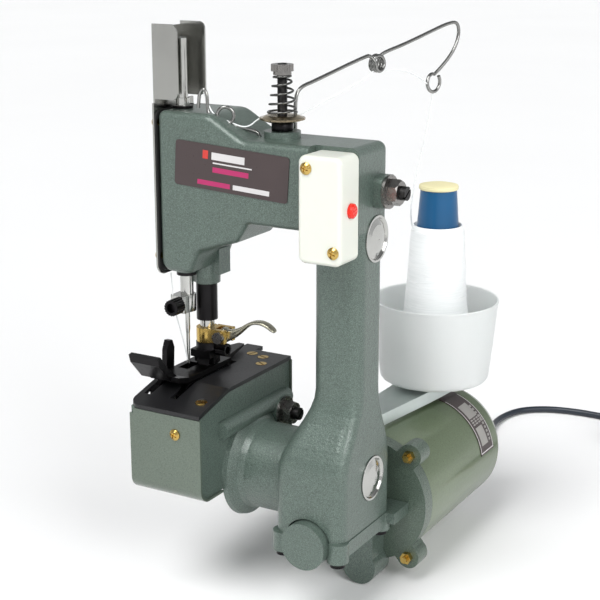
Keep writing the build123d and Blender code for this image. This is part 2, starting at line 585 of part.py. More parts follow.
def presser_foot():
    """Forked presser foot: sole with a needle opening, raised toes and a pivot lug."""
    sole = [(-4, 103.6), (4, 101.2), (20, 101.0), (60, 101.0), (82, 102.6), (82, 103.8), (60, 104.2), (
        22, 104.2), (6, 104.4), (-5, 107.2)]
    shape = plate_yz(sole, PRESS_X - 14, PRESS_X + 7)
    toe = [(-5, 104.4), (3, 102.8), (2.5, 105), (-8, 114), (-14, 121.5), (-17, 121.0), (-15.5, 116)]
    shape += plate_yz(toe, PRESS_X - 20, PRESS_X + 1)
    shape -= block(NEEDLE_X - 3.2, NEEDLE_X + 3.6, 19.5, 33, 95, 110)
    left = [(-20, 84), (-20, 60), (-14, 60), (-5.4, 84)]
    right = [(8, 84), (8, 52), (4, 52), (-2.4, 84)]
    for taper in (left, right):
        shape -= plate_xy([(PRESS_X + x, y) for x, y in taper], 95, 110)
    shape += plate_yz([(31, 103.5), (43, 103.5), (40.5, 109.1), (33.5, 109.1)], PRESS_X - 4.8, PRESS_X + 3.8)
    shape -= rod_x(PRESS_X - 10, PRESS_X + 10, PRESS_Y, PIN_Z, PIN_R + FIT)
    guard = [(13, 101.5), (21, 101.5), (22, 116), (20, 121), (16.5, 121.5), (14, 116)]
    shape += block(PRESS_X - 18, PRESS_X - 13, 13, 21, 101.5, 103.6)
    return shape + plate_yz(guard, PRESS_X - 18.0, PRESS_X - 14.4)


def foot_pin():
    """Pin that carries the foot between the holder's cheeks."""
    return rod_x(PRESS_X - 8, PRESS_X + 7, PRESS_Y, PIN_Z, PIN_R)


def feed_dog():
    """Two toothed rows joined under the plate."""
    rows = []
    for x in ROW_X:
        teeth = [(-3, 92), (52, 92), (52, 99.2), (50, PLATE_Z + 0.2)]
        count = 20
        pitch = 2.2
        for i in range(count):
            y = 49 - i * pitch
            teeth += [(y, PLATE_Z + 0.75), (y - pitch * 0.7, PLATE_Z - 0.1)]
        teeth += [(2.0, 97.5), (-3, 95.5)]
        rows.append(plate_yz(teeth, x - 1.9, x + 1.9))
    bridge = block(ROW_X[0] - 1.9, ROW_X[1] + 1.9, 44, 52, 84, 93)
    return rows[0] + rows[1] + bridge + block(-120, -112, 44, 76, 80, 86)


def feed_carrier():
    """Lifting carrier on which the feed dog slides fore and aft."""
    shape = block(-122, -110, 42, 78, 70, 79.7)
    return shape + rod_x(-128, -104, 60, 68, 4)


def looper():
    """Looper that catches the needle thread behind the needle."""
    hook = [(-127, 68), (-122, 68), (-120, 79), (-108, 84.4), (-108, 86), (-121, 83.5), (-125, 79)]
    blade = plate_xz(hook, 29, 31.6)
    return blade + rod_y(-125, 29, 40, 66, 5)


# ---- drive train -----------------------------------------------------------------------------
def main_shaft():
    """Lower main shaft from column to looper case."""
    shaft = rod_x(-100, -3, SHAFT_Y, SHAFT_Z, SHAFT_R)
    return shaft + rod_x(-100, -94, SHAFT_Y, SHAFT_Z, 5.6)


def shaft_bearings():
    """Plain bearings of the main shaft in the lower arm and column wall."""
    sleeves = []
    for x0, x1 in ((CASE_R - 3.8, CASE_R + 12), (-60, -46.2)):
        sleeve = rod_x(x0, x1, SHAFT_Y, SHAFT_Z, 7.95)
        sleeves.append(sleeve - rod_x(x0 - 1, x1 + 1, SHAFT_Y, SHAFT_Z, SHAFT_R + FIT))
    return sleeves


def worm_wheel():
    """Toothed wheel that the worm drives."""
    teeth = 24
    points = []
    for i in range(teeth):
        for part, r in ((0.0, 16.6), (0.3, 16.6), (0.42, 19.2), (0.72, 19.2)):
            a = 2 * math.pi * (i + part) / teeth
            points.append((r * math.cos(a), r * math.sin(a)))
    wheel = plate_xy(points, -5, 5) - Cylinder(SHAFT_R, 40)
    for i in range(6):
        a = math.radians(60 * i)
        wheel -= Pos(10.5 * math.cos(a), 10.5 * math.sin(a), 0) * Cylinder(2.6, 40)
    hub = Pos(0, 0, 6.5) * (Cylinder(8, 5) - Cylinder(SHAFT_R, 40))
    return Pos(WORM_X, SHAFT_Y, SHAFT_Z) * Rot(0, 90, 0) * (wheel + hub)


def worm_shaft():
    """Motor shaft with its worm."""
    shape = rod_y(WORM_X, 0.5, 191, WORM_Z, 4.0)
    profile = [(3.9, 18)]
    for i in range(9):
        y = 19 + 4.2 * i
        profile += [(6.2, y), (8.2, y + 1.3), (8.2, y + 2.2), (6.2, y + 3.5)]
    profile += [(3.9, 58)]
    return shape + turned_y(WORM_X, WORM_Z, profile)


def motor_rotor():
    """Rotor stack, commutator and fan on the motor shaft."""
    core = rod_y(WORM_X, 112, 156, WORM_Z, 22) - rod_y(WORM_X, 100, 170, WORM_Z, 4.0)
    for i in range(12):
        a = 2 * math.pi * i / 12
        core -= rod_y(WORM_X + 21 * math.cos(a), 110, 158, WORM_Z + 21 * math.sin(a), 1.6)
    commutator = rod_y(WORM_X, 164, 178, WORM_Z, 11) - rod_y(WORM_X, 160, 180, WORM_Z, 4.0)
    return core, commutator


def motor_fan():
    """Cooling fan at the front of the rotor."""
    shape = rod_y(WORM_X, 94, 96, WORM_Z, 31) + rod_y(WORM_X, 96, 102, WORM_Z, 8)
    for i in range(8):
        blade = Pos(19, 0, 0) * Box(21, 8, 1.4)
        shape += Pos(WORM_X, 98.5, WORM_Z) * Rot(0, 45 * i, 0) * blade
    return shape - rod_y(WORM_X, 80, 110, WORM_Z, 4.0)


def motor_bearings():
    """Bearings of the motor shaft in the base boss, end bell and rear cap."""
    rings = []
    for y0, y1, r in ((1, 9, 9.45), (78, 85, 9.45), (184, 191.2, 9.45)):
        rings.append(rod_y(WORM_X, y0, y1, WORM_Z, r) - rod_y(WORM_X, y0 - 1, y1 + 1, WORM_Z, 4.0 + FIT))
    return rings


def motor_stator():
    """Field ring pressed in the motor shell."""
    return rod_y(WORM_X, 110, 158, WORM_Z, 37.4) - rod_y(WORM_X, 100, 170, WORM_Z, 23)


def motor_endbell():
    """Cast front end of the motor with four bolt ears."""
    shape = rod_y(WORM_X, MOTOR_FRONT, SHELL_FRONT, WORM_Z, MOTOR_R)
    for sx in (-1, 1):
        for sz in (-1, 1):
            x, z = WORM_X + sx * EAR_X, WORM_Z + sz * EAR_Z
            shape += rod_y(x, MOTOR_FRONT, SHELL_FRONT + 3, z, 7.5)
            arm = Pos((x + WORM_X) / 2, MOTOR_FRONT + 6.5, (z + WORM_Z) / 2)
            shape += arm * Rot(0, -sx * sz * math.degrees(math.atan2(EAR_Z, EAR_X)), 0) * Box(40, 13, 15)
    shape -= rod_y(WORM_X, SHELL_FRONT - 3, SHELL_FRONT + 9, WORM_Z, MOTOR_R - 2.5)
    shape -= rod_y(WORM_X, SHELL_FRONT + 0.05, SHELL_FRONT + 9, WORM_Z, MOTOR_R + 0.1)
    shape -= rod_y(WORM_X, MOTOR_FRONT - 1, SHELL_FRONT + 1, WORM_Z, 9.5)
    shape -= rod_y(WORM_X + 2.5, MOTOR_FRONT - 1, MOTOR_FRONT + 4.3, FLOOR_Z + 11.5, 11.8)
    for sx in (-1, 1):
        for sz in (-1, 1):
            shape -= rod_y(WORM_X + sx * EAR_X, 70, 95, WORM_Z + sz * EAR_Z, 2.1)
    return shape


def motor_shell():
    """Drawn steel motor shell."""
    shape = rod_y(WORM_X, SHELL_FRONT + 0.1, SHELL_BACK, WORM_Z, MOTOR_R)
    return shape - rod_y(WORM_X, 80, 190, WORM_Z, MOTOR_R - 2.5)


def motor_rear_cap():
    """Rounded rear cap of the motor with vent slots and the cord's gland hole."""
    face = [(0, SHELL_BACK + 0.05), (MOTOR_R, SHELL_BACK + 0.05), (MOTOR_R, 192), (38.4, 196.5), (
        35.5, 199), (31, MOTOR_BACK), (0, MOTOR_BACK)]
    hollow = [(0, 181), (MOTOR_R - 4.6, 181), (MOTOR_R - 2.6, 192), (34, 196), (30, 197.4), (0, 197.4)]
    shape = turned_y(WORM_X, WORM_Z, face)
    ring = rod_y(WORM_X, 182, SHELL_BACK + 1, WORM_Z, MOTOR_R - 2.55)
    shape = shape + ring - turned_y(WORM_X, WORM_Z, hollow)
    shape += rod_y(WORM_X, 184, 198, WORM_Z, 12) - rod_y(WORM_X, 183, 191.6, WORM_Z, 9.5)
    for i in range(10):
        a = math.radians(36 * i + 200)
        if abs(math.degrees(a) % 360 - 230) > 20:
            shape -= Pos(WORM_X + 25 * math.cos(a), 198, WORM_Z + 25 * math.sin(a)) * Rot(
                0, -math.degrees(a), 0) * Box(10, 8, 3)
    return shape - rod_y(CORD_EXIT[0], 180, 210, CORD_EXIT[2], 4.05)


def motor_bolts():
    """Gilt through-bolts and nuts of the motor ears."""
    bolts = []
    for sx in (-1, 1):
        for sz in (-1, 1):
            x, z = WORM_X + sx * EAR_X, WORM_Z + sz * EAR_Z
            bolt = rod_y(x, MOTOR_FRONT - 6, SHELL_FRONT + 5, z, 2.0)
            bolt += hex_y(x, MOTOR_FRONT - 3.4, MOTOR_FRONT - 0.02, z, 6.6)
            bolt += hex_y(x, SHELL_FRONT + 3.02, SHELL_FRONT + 6, z, 6.6)
            bolts.append(bolt)
    return bolts


def rating_plate():
    """Curved plate along the motor shell, without lettering."""
    ring = rod_y(WORM_X, 163, 183, WORM_Z, MOTOR_R + 0.5) - rod_y(WORM_X, 150, 190, WORM_Z, MOTOR_R + 0.05)
    wedge = plate_xz([(WORM_X, WORM_Z), (WORM_X + 60, WORM_Z + 8), (WORM_X + 60, WORM_Z + 60), (
        WORM_X + 12, WORM_Z + 60)], 150, 190)
    return ring & wedge


# ---- thread stand ----------------------------------------------------------------------------
def cone_bracket():
    """Bent steel bracket from the column's back to the thread bowl."""
    z0, z1 = 66.6, 68.8
    plate = plate_xy([(-42, 64.5), (-26, 64.5), (-14, 150), (-10, 190), (-36, 190), (-42, 150)], z0, z1)
    edge = [(-28.2, 64.5), (-26, 64.5), (-14, 150), (-10, 190), (-12.2, 190), (-16.2, 150)]
    flange = plate_xy(edge, 60.8, z1)
    tab = block(-42, -12, 63.0, 65.0, z0, 82)
    shape = plate + flange + tab - rod_z(BOWL_X, BOWL_Y, 60, 75, 4.0)
    for x in (-34.0, -19.0):
        shape -= rod_y(x, 60, 70, 75.5, 2.3)
    return shape


def bracket_screws():
    """Screws of the bracket in the column's back."""
    screws = []
    for x in (-34.0, -19.0):
        head = turned_y(x, 75.5, [(0, 67.2), (2.4, 66.9), (3.8, 65.6), (3.8, 65.02), (0, 65.02)])
        screws.append(head + rod_y(x, 62.9, 65.02, 75.5, 2.0))
    return screws


def bowl():
    """Thin plastic bowl that keeps the thread cone in place."""
    h, t = BOWL_H, 1.8
    outer = [(4.1, 0), (BOWL_LOW_R - 3, 0), (BOWL_LOW_R, 2.5), (BOWL_TOP_R, h), (BOWL_TOP_R - t, h), (
        BOWL_LOW_R - t, 3.4), (BOWL_LOW_R - 3.6, t), (4.1, t)]
    return turned_z(BOWL_X, BOWL_Y, [(r, BOWL_Z + z) for r, z in outer])


def cone_spindle():
    """Spindle with its shoulder and lower nut, through bracket and bowl."""
    shape = rod_z(BOWL_X, BOWL_Y, 62, 192, 3.95)
    shape += rod_z(BOWL_X, BOWL_Y, 68.85, 70.95, 9) + rod_z(BOWL_X, BOWL_Y, BOWL_Z + 1.85, BOWL_Z + 4, 12)
    return shape + Pos(BOWL_X, BOWL_Y, 62) * extrude(RegularPolygon(6.5, 6, major_radius=False), 4.55)


def cone_radius(z):
    """Outer radius of the paper cone at one height."""
    return CONE_LOW_R + (CONE_TOP_R - CONE_LOW_R) * (z - CONE_LOW) / (CONE_TOP - CONE_LOW)


def thread_cone():
    """Tapered paper cone, open at both ends."""
    profile = [(CONE_LOW_R, CONE_LOW), (CONE_TOP_R, CONE_TOP)]
    profile += [(CONE_TOP_R - CONE_T, CONE_TOP), (CONE_LOW_R - CONE_T, CONE_LOW)]
    return turned_z(BOWL_X, BOWL_Y, profile)


def cone_cap():
    """Pale domed cap that closes the top of the cone."""
    profile = [(0, 0.05), (12.6, 0.05), (12.9, 1.2), (12.6, 2.6), (9.0, 3.4), (0, 3.8)]
    return turned_z(BOWL_X, BOWL_Y, [(r, CONE_TOP + z) for r, z in profile])


def thread_package():
    """Thread wound on the cone."""
    low, top = 79.0, 175.5
    outer = [(25.0, low), (26.0, 83.0), (25.0, 92), (22.6, 108), (20.6, 124), (19.4, 140), (18.2, 160)]
    outer += [(17.4, 172), (16.0, top)]
    inner_low = (cone_radius(low) + FIT, low)
    inner_top = (cone_radius(top) + FIT, top)
    return turned_z(BOWL_X, BOWL_Y, [inner_low] + outer + [inner_top])


# ---- thread tension and guides ---------------------------------------------------------------
def tension_post():
    """Slotted threaded post of the tension unit."""
    shape = rod_z(SPRING_X, SPRING_Y, 244.6, 290.8, 2.95)
    shape -= block(SPRING_X - 0.7, SPRING_X + 0.7, SPRING_Y - 5, SPRING_Y + 5, 262, 297)
    return shape


def tension_seat():
    """Black collar under the discs."""
    return rod_z(SPRING_X, SPRING_Y, 253.05, 258, 6.2) - rod_z(SPRING_X, SPRING_Y, 250, 262, 3.0)


def tension_disc(z, up):
    """Dished tension disc; up is +1 or -1 for the side of its rim."""
    t = 0.8
    dish = [(3.05, 0), (9.0, 0), (13.0, 1.5), (13.0, 1.5 + t), (9.0, t), (3.05, t)]
    return turned_z(SPRING_X, SPRING_Y, [(r, z + rise * up) for r, rise in dish])


def tension_spring():
    """Conical spring over the post, as a tapered stack of turns."""
    turns, low, high = 5, 262.6, 283.6
    coil = None
    pitch = (high - low - 1.6) / turns
    for i in range(turns + 1):
        r = 7.6 - 3.1 * i / turns
        ring = Pos(SPRING_X, SPRING_Y, low + 0.8 + pitch * i) * Torus(r, 0.78)
        coil = ring if coil is None else coil + ring
    return coil


def tension_nut():
    """Knurled nut that loads the spring."""
    nut = Pos(SPRING_X, SPRING_Y, 286.4) * knurled(6.4, 3.9, 24)
    nut += rod_z(SPRING_X, SPRING_Y, 284.4, 286.5, 5.2)
    return nut - rod_z(SPRING_X, SPRING_Y, 280, 300, 2.95 + FIT)


def cord_tube():
    """Mains lead from its exit to the coil: straight runs joined by tangent arcs."""
    radii = []
    for before, here, after in zip(CORD_ROUTE, CORD_ROUTE[1:], CORD_ROUTE[2:]):
        first = Vector(*here) - Vector(*before)
        second = Vector(*after) - Vector(*here)
        turn = math.radians(first.get_angle(second))
        radii.append(0.45 * min(first.length, second.length) / math.tan(turn / 2))
    print("cord arc radii", [round(r, 1) for r in radii])
    return wire_path(CORD_ROUTE, radii, CORD_R)


def cord_tail():
    """Short straight stretch from the coil to the plug."""
    return rod_y(PLUG_X, PLUG_Y, PLUG_Y + 30, FLOOR_Z + CORD_R, CORD_R)


def cord_coil():
    """Outer shape of the coiled lead."""
    ring = rod_z(COIL_X, COIL_Y, FLOOR_Z, FLOOR_Z + COIL_H, COIL_R + COIL_BAND / 2)
    ring -= rod_z(COIL_X, COIL_Y, FLOOR_Z - 1, FLOOR_Z + COIL_H + 1, COIL_R - COIL_BAND / 2)
    return fillet(ring.edges(), 4)


def strain_relief():
    """Tapered rubber sleeve where the lead leaves the motor's rear cap."""
    x, y, z = CORD_EXIT
    profile = [(2.6, y - 6), (4.0, y - 6), (4.0, y - 2.95), (5.6, y - 2.95), (5.6, y), (4.2, y + 1.5), (
        3.1, CORD_ROUTE[0][1]), (0, CORD_ROUTE[0][1]), (0, y - 2), (2.6, y - 2)]
    return turned_y(x, z, profile)


def power_plug():
    """Two-pin plug body, lying on its side."""
    z = FLOOR_Z + 7.0
    body = block(PLUG_X - 12, PLUG_X + 12, PLUG_Y - 40, PLUG_Y - 12, z - 7, z + 7)
    body = fillet(body.edges().filter_by(Axis.Y), 5)
    neck = turned_y(PLUG_X, FLOOR_Z + 4.2, [(0, PLUG_Y - 14), (4.2, PLUG_Y - 14), (3.6, PLUG_Y), (0, PLUG_Y)])
    shape = body + neck
    for x in (PLUG_X - 9.5, PLUG_X + 9.5):
        shape -= rod_y(x, PLUG_Y - 41, PLUG_Y - 34, z, 2.0)
    return shape


def plug_pins():
    """Round pins of the plug."""
    pins = []
    for x in (PLUG_X - 9.5, PLUG_X + 9.5):
        pin = rod_y(x, PLUG_Y - 59, PLUG_Y - 34.05, FLOOR_Z + 7.0, 2.0)
        pins.append(fillet(pin.edges().group_by(Axis.Y)[0], 1.2))
    return pins


def guide_wire_long():
    """Spring wire arm that carries the thread from the cone eye to the tension unit."""
    points = [(-56, 44.5, 244.8), (-56, 44.5, 273), (-38.9, 99.9, 288.4), (-19.8, 184.0, 304.5)]
    points += [(-20.2, 183.0, 287.0), (-24.3, 165.3, 274.3)]
    shape = wire_path(points, [5, 60, 6.5, 5], 1.1)
    normal = Vector(139, -31.3, 0).normalized()
    for centre, major in (((-24.7, 163.6, 268.0), 6.0),):
        shape += Plane(origin=centre, z_dir=normal) * Torus(major, 1.1)
    for side in (-1.1, 1.1):
        middle = Vector(-36.8, 109.0, 285.2) + normal * side
        shape += Plane(origin=middle, z_dir=normal) * Torus(5.2, 1.1)
    return shape


def guide_wire_short():
    """Short wire guide with its upright hairpin above the head."""
    points = [(-69, 27, 244.8), (-69, 27, 252), (-80, 21, 256.5), (-88, 16.5, 263), (-96.5, 16, 266)]
    points += [(-97.2, 16, 274.8), (-102.4, 16, 274.3), (-103.4, 16, 264.0)]
    return wire_path(points, [3, 6, 4, 3, 2.2, 2.2], 1.0)


def switch_unit():
    """Switch body inside its box, left of the button at the end of its travel."""
    return block(-20.5, -8.8, 3, 13, 208, 226)


def start_button():
    """Red start button with its retaining flange."""
    profile = [(0, -6.5), (5.6, -6.5), (5.6, -2.9), (4.15, -2.9), (4.15, 1.4), (3.2, 2.3), (0, 2.6)]
    return turned_x(8.0, 216.5, profile)


def rocker_shaft():
    """Rocking shaft in the arm, turning on the fixed stud at its column end."""
    shape = rod_x(-112.8, -26, ROCK_Y, ROCK_Z, SHAFT_R) + rod_x(-27, -12, ROCK_Y, ROCK_Z, 6.8)
    shape += plate_yz([(ROCK_Y, ROCK_Z - 6), (24, ROCK_Z - 4.5), (22, ROCK_Z), (24, ROCK_Z + 4.5), (
        ROCK_Y, ROCK_Z + 6)], -17, -12)
    shape += rod_x(-13, -5.6, 26, ROCK_Z, 2.0)
    return shape - rod_x(-24.5, -11, ROCK_Y, ROCK_Z, 3.95 + FIT)


def rocker_lever():
    """Forked lever on the rocking shaft that moves the needle bar."""
    outline = [(ROCK_Y, ROCK_Z - 7), (16, ROCK_Z - 5.6), (16, ROCK_Z + 5.6), (ROCK_Y, ROCK_Z + 7)]
    arm = plate_yz(outline, -112.8, -109)
    shape = arm + rod_x(-112.8, -104, ROCK_Y, ROCK_Z, 7)
    shape -= block(-115, -105, 15, 31, ROCK_Z - 3.4, ROCK_Z + 3.4)
    return shape - rod_x(-120, -100, ROCK_Y, ROCK_Z, SHAFT_R)


def connecting_rod():
    """Rod in the column between the shaft's eccentric and the rocking shaft."""
    shape = block(-11, -6.5, 34, 40, 72, 200) + block(-11, -6.5, 24.3, 51.5, 70, 74)
    shape += block(-11, -6.5, 24.3, 26.6, 46, 72) + block(-11, -6.5, 49.4, 51.5, 46, 72)
    upper = [(34, 196), (40, 196), (40, 202), (36.5, 208.5), (33, 230), (22.3, 230), (22.3, 214), (29, 210)]
    shape += plate_yz(upper, -11, -6.5)
    return shape - block(-12, -6, 23.3, 33.6, ROCK_Z - 2.7, ROCK_Z + 2.7)


def shaft_eccentric():
    """Eccentric at the column end of the main shaft."""
    disc = rod_x(-11, -6.5, SHAFT_Y + 2.5, SHAFT_Z, 8.6)
    return disc - rod_x(-12, -5, SHAFT_Y, SHAFT_Z, SHAFT_R)


def case_side_cover():
    """Inset panel that closes the looper case at the left, with its two screws."""
    return block(CASE_L + 0.1, CASE_L + 1.6, CASE_FRONT + 3.3, CASE_BACK - 3.3, CASE_LOW + 9, 86)


def write_frame():
    """Sub-parts that stay still."""
    save("base_casting", base_casting())
    save("column_arm_casting", column_arm_casting())
    save("base_bolts", *base_bolts())
    save("column_plugs", welch_plug(38.8, 195), welch_plug(37.6, 51))
    save("pivot_studs", stud(ROCK_Y, ROCK_Z, -24, 17.5), stud(66, 70, CASE_R - 6, CASE_R + 19))
    save("stud_lock_nuts", *lock_nut(ROCK_Y, ROCK_Z, 5.55), *lock_nut(66, 70, CASE_R + 7.05))
    save("switch_box", switch_box())
    save("switch_unit", switch_unit())
    save("name_plates", arm_label(), rating_plate())
    save("face_plate", face_plate())
    save("face_plate_gasket", face_plate_gasket())
    save("bar_bushes", *bushes())
    save("looper_case", case_body())
    save("case_cover", case_cover())
    save("pan_head_screws", *pan_head_screws())
    save("case_side_cover", case_side_cover())
    save("throat_plate", throat_plate())
    save("throat_plate_screws", *throat_plate_screws())
    save("shaft_bearings", *shaft_bearings(), *motor_bearings())
    save("motor_endbell", motor_endbell())
    save("motor_shell", motor_shell(), motor_stator())
    save("motor_rear_cap", motor_rear_cap())
    save("motor_bolts", *motor_bolts())


def write_thread_path():
    """Thread stand, tension unit and wire guides."""
    save("cone_bracket", cone_bracket())
    save("thread_bowl", bowl())
    save("cone_spindle", cone_spindle())
    save("thread_cone", thread_cone())
    save("cone_cap", cone_cap())
    save("thread_package", thread_package())
    save("tension_post", tension_post(), tension_seat())
    save("tension_discs", tension_disc(258.1, 1), tension_disc(261.8, -1))
    save("tension_spring", tension_spring())
    save("guide_wires", guide_wire_long(), guide_wire_short())


def write_moving():
    """Sub-parts that move."""
    save("worm_shaft", worm_shaft())
    save("motor_rotor", *motor_rotor(), motor_fan())
    save("main_shaft", main_shaft(), shaft_eccentric())
    save("worm_wheel", worm_wheel())
    save("connecting_rod", connecting_rod())
    save("rocker_shaft", rocker_shaft(), rocker_lever())
    save("needle_bar", needle_bar())
    save("needle_clamp", needle_clamp())
    save("needle", needle())
    save("needle_thumb_screw", needle_thumb_screw())
    save("presser_bar", presser_bar())
    save("presser_collar", presser_collar())
    save("lifter_pivot_screw", lifter_pivot_screw())
    save("lifter_lever", lifter_lever())
    save("foot_holder", foot_holder(), foot_pin())
    save("foot_thumb_screw", foot_thumb_screw())
    save("presser_foot", presser_foot())
    save("feed_dog", feed_dog())
    save("feed_carrier", feed_carrier())
    save("looper", looper())
    save("start_button", start_button())
    save("tension_nut", tension_nut())


def write_cord():
    """Mains lead, its sleeve and its plug."""
    save("strain_relief", strain_relief())
    save("power_cord", cord_tube(), cord_tail())
    save("cord_coil", cord_coil())
    save("power_plug", power_plug())
    save("plug_pins", *plug_pins())


if __name__ == "__main__":
    os.makedirs("parts", exist_ok=True)
    write_frame()
    write_thread_path()
    write_moving()
    write_cord()
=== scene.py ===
"""Looks for the bag closer sewing machine: materials, thread, spring, wires, cord, light and camera."""
import json
import math

import bmesh
import bpy
from mathutils import Matrix, Vector


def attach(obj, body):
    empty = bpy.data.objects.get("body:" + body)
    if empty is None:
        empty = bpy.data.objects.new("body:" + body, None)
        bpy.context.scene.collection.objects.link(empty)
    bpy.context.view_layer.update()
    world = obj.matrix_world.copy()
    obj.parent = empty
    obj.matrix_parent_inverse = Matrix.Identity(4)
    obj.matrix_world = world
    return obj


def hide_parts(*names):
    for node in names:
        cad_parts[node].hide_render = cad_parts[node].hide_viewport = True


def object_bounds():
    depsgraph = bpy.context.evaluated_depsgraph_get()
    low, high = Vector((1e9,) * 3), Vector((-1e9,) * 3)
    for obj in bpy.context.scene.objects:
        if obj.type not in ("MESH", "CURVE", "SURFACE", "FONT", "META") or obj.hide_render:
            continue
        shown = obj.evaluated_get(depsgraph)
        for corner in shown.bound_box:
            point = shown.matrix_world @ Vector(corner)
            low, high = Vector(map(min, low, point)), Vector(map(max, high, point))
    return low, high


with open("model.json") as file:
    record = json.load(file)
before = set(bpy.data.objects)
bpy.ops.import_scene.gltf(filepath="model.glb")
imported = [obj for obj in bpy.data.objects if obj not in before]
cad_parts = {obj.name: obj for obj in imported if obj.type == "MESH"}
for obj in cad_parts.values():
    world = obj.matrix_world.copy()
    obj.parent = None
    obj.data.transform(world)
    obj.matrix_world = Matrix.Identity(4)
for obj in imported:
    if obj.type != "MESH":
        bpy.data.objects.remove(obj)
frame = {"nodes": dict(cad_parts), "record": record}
cad_box = [list(corner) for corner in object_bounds()]
NODES = frame["nodes"]
MM = 0.001
GRIP = Vector((-15.5, 35.0, 145.0))       # grip's middle, in the working axes of the design (mm)
FLOOR = -32.0                             # surface under the machine, in those axes
PLATE_FRONT = 7.44                        # printed face of the plate on the arm
MOTOR_AXIS = (-22.5, 19.0)                # X and Z of the motor's axis
BAND_RADIUS = 40.56                       # printed face of the band round the motor
UP = Vector((0, 0, 1))


def at(x, y, z):
    """A point of the design's working axes (mm) in the row frame (m)."""
    return (Vector((x, y, z)) - GRIP) * MM


# ---- material helpers ------------------------------------------------------------------------
class Shader:
    """A node material being built, with short calls for its common nodes."""

    def __init__(self, name):
        self.mat = bpy.data.materials.new(name)
        self.mat.use_nodes = True
        self.tree = self.mat.node_tree
        self.bsdf = self.tree.nodes["Principled BSDF"]
        self.place = self.node("ShaderNodeTexCoord").outputs["Object"]

    def node(self, kind, **values):
        made = self.tree.nodes.new(kind)
        for key, value in values.items():
            setattr(made, key, value)
        return made

    def link(self, source, target):
        self.tree.links.new(source, target)

    def set(self, **values):
        for key, value in values.items():
            self.bsdf.inputs[key.replace("_", " ")].default_value = value
        return self

    def noise(self, scale, detail=3.0, stretch=(1, 1, 1), rough=0.5):
        """Noise value over object space; stretch scales each axis."""
        mapping = self.node("ShaderNodeMapping")
        mapping.inputs["Scale"].default_value = stretch
        self.link(self.place, mapping.inputs["Vector"])
        made = self.node("ShaderNodeTexNoise")
        made.inputs["Scale"].default_value = scale
        made.inputs["Detail"].default_value = detail
        made.inputs["Roughness"].default_value = rough
        self.link(mapping.outputs["Vector"], made.inputs["Vector"])
        return made.outputs["Fac"]

    def cells(self, scale, feature="F1"):
        made = self.node("ShaderNodeTexVoronoi", feature=feature)
        made.inputs["Scale"].default_value = scale
        self.link(self.place, made.inputs["Vector"])
        return made.outputs["Distance"]

    def ramp(self, value, stops):
        """Colour ramp from (position, colour) stops."""
        made = self.node("ShaderNodeValToRGB")
        ramp = made.color_ramp
        while len(ramp.elements) < len(stops):
            ramp.elements.new(0.5)
        for element, (at, colour) in zip(ramp.elements, stops):
            element.position = at
            element.color = (*colour, 1) if len(colour) == 3 else (colour[0],) * 3 + (1,)
        self.link(value, made.inputs["Fac"])
        return made.outputs["Color"]

    def span(self, value, low, high, from_low=0.0, from_high=1.0):
        """Maps a value range to low..high."""
        made = self.node("ShaderNodeMapRange")
        limits = {"From Min": from_low, "From Max": from_high, "To Min": low, "To Max": high}
        for key, number in limits.items():
            made.inputs[key].default_value = number
        self.link(value, made.inputs["Value"])
        return made.outputs["Result"]

    def mix(self, factor, first, second):
        """Mixes two colours or colour sockets by a factor socket."""
        made = self.node("ShaderNodeMix", data_type="RGBA")
        self.link(factor, made.inputs["Factor"])
        inputs = {socket.name: socket for socket in made.inputs if socket.type == "RGBA"}
        for side, value in (("A", first), ("B", second)):
            if isinstance(value, tuple):
                inputs[side].default_value = (*value, 1)
            else:
                self.link(value, inputs[side])
        return [socket for socket in made.outputs if socket.type == "RGBA"][0]

    def bump(self, height, distance, strength=1.0, below=None):
        made = self.node("ShaderNodeBump")
        made.inputs["Strength"].default_value = strength
        made.inputs["Distance"].default_value = distance
        self.link(height, made.inputs["Height"])
        if below is not None:
            self.link(below, made.inputs["Normal"])
        return made.outputs["Normal"]

    def done(self, colour=None, rough=None, normal=None):
        if colour is not None:
            self.link(colour, self.bsdf.inputs["Base Color"])
        if rough is not None:
            self.link(rough, self.bsdf.inputs["Roughness"])
        if normal is not None:
            self.link(normal, self.bsdf.inputs["Normal"])
        return self.mat


def shade(colour, factor):
    """A colour times a factor, no brighter than white."""
    return tuple(min(channel * factor, 1) for channel in colour)


def hammertone(name="hammertone_enamel", base=(0.098, 0.135, 0.114)):
    """Grey-green enamel: pebbled, with light flecks and darker pits between them."""
    s = Shader(name).set(Metallic=0.2, Coat_Weight=0.4, Coat_Roughness=0.2)
    veins = s.cells(1150.0, "DISTANCE_TO_EDGE")
    fleck = s.noise(1900.0, 2.0, rough=0.7)
    patch = s.noise(55.0, 4.0)
    dark, light = shade(base, 0.42), shade(base, 1.75)
    cell = s.ramp(veins, [(0.0, dark), (0.12, base), (0.5, light)])
    pits = s.ramp(fleck, [(0.34, dark), (0.5, base), (0.66, light)])
    tone = s.mix(s.span(patch, 0.35, 0.65, 0.3, 0.7), cell, pits)
    height = s.noise(620.0, 3.0, rough=0.65)
    normal = s.bump(height, 0.0007, 0.6)
    return s.done(tone, s.span(fleck, 0.26, 0.46), normal)


def sheet_enamel(name="sheet_enamel", base=(0.118, 0.150, 0.118)):
    """Smoother grey-green enamel of the sheet cover and the motor."""
    s = Shader(name).set(Metallic=0.3, Coat_Weight=0.5, Coat_Roughness=0.12)
    patch = s.noise(14.0, 4.0)
    fine = s.noise(1400.0, 2.0, rough=0.6)
    slow = s.ramp(patch, [(0.3, shade(base, 0.84)), (0.7, shade(base, 1.14))])
    flecks = s.ramp(fine, [(0.35, shade(base, 0.74)), (0.65, shade(base, 1.28))])
    colour = s.mix(s.span(patch, 0.35, 0.6), slow, flecks)
    return s.done(colour, s.span(fine, 0.24, 0.36), s.bump(s.noise(420.0, 2.0), 0.0002, 0.3))


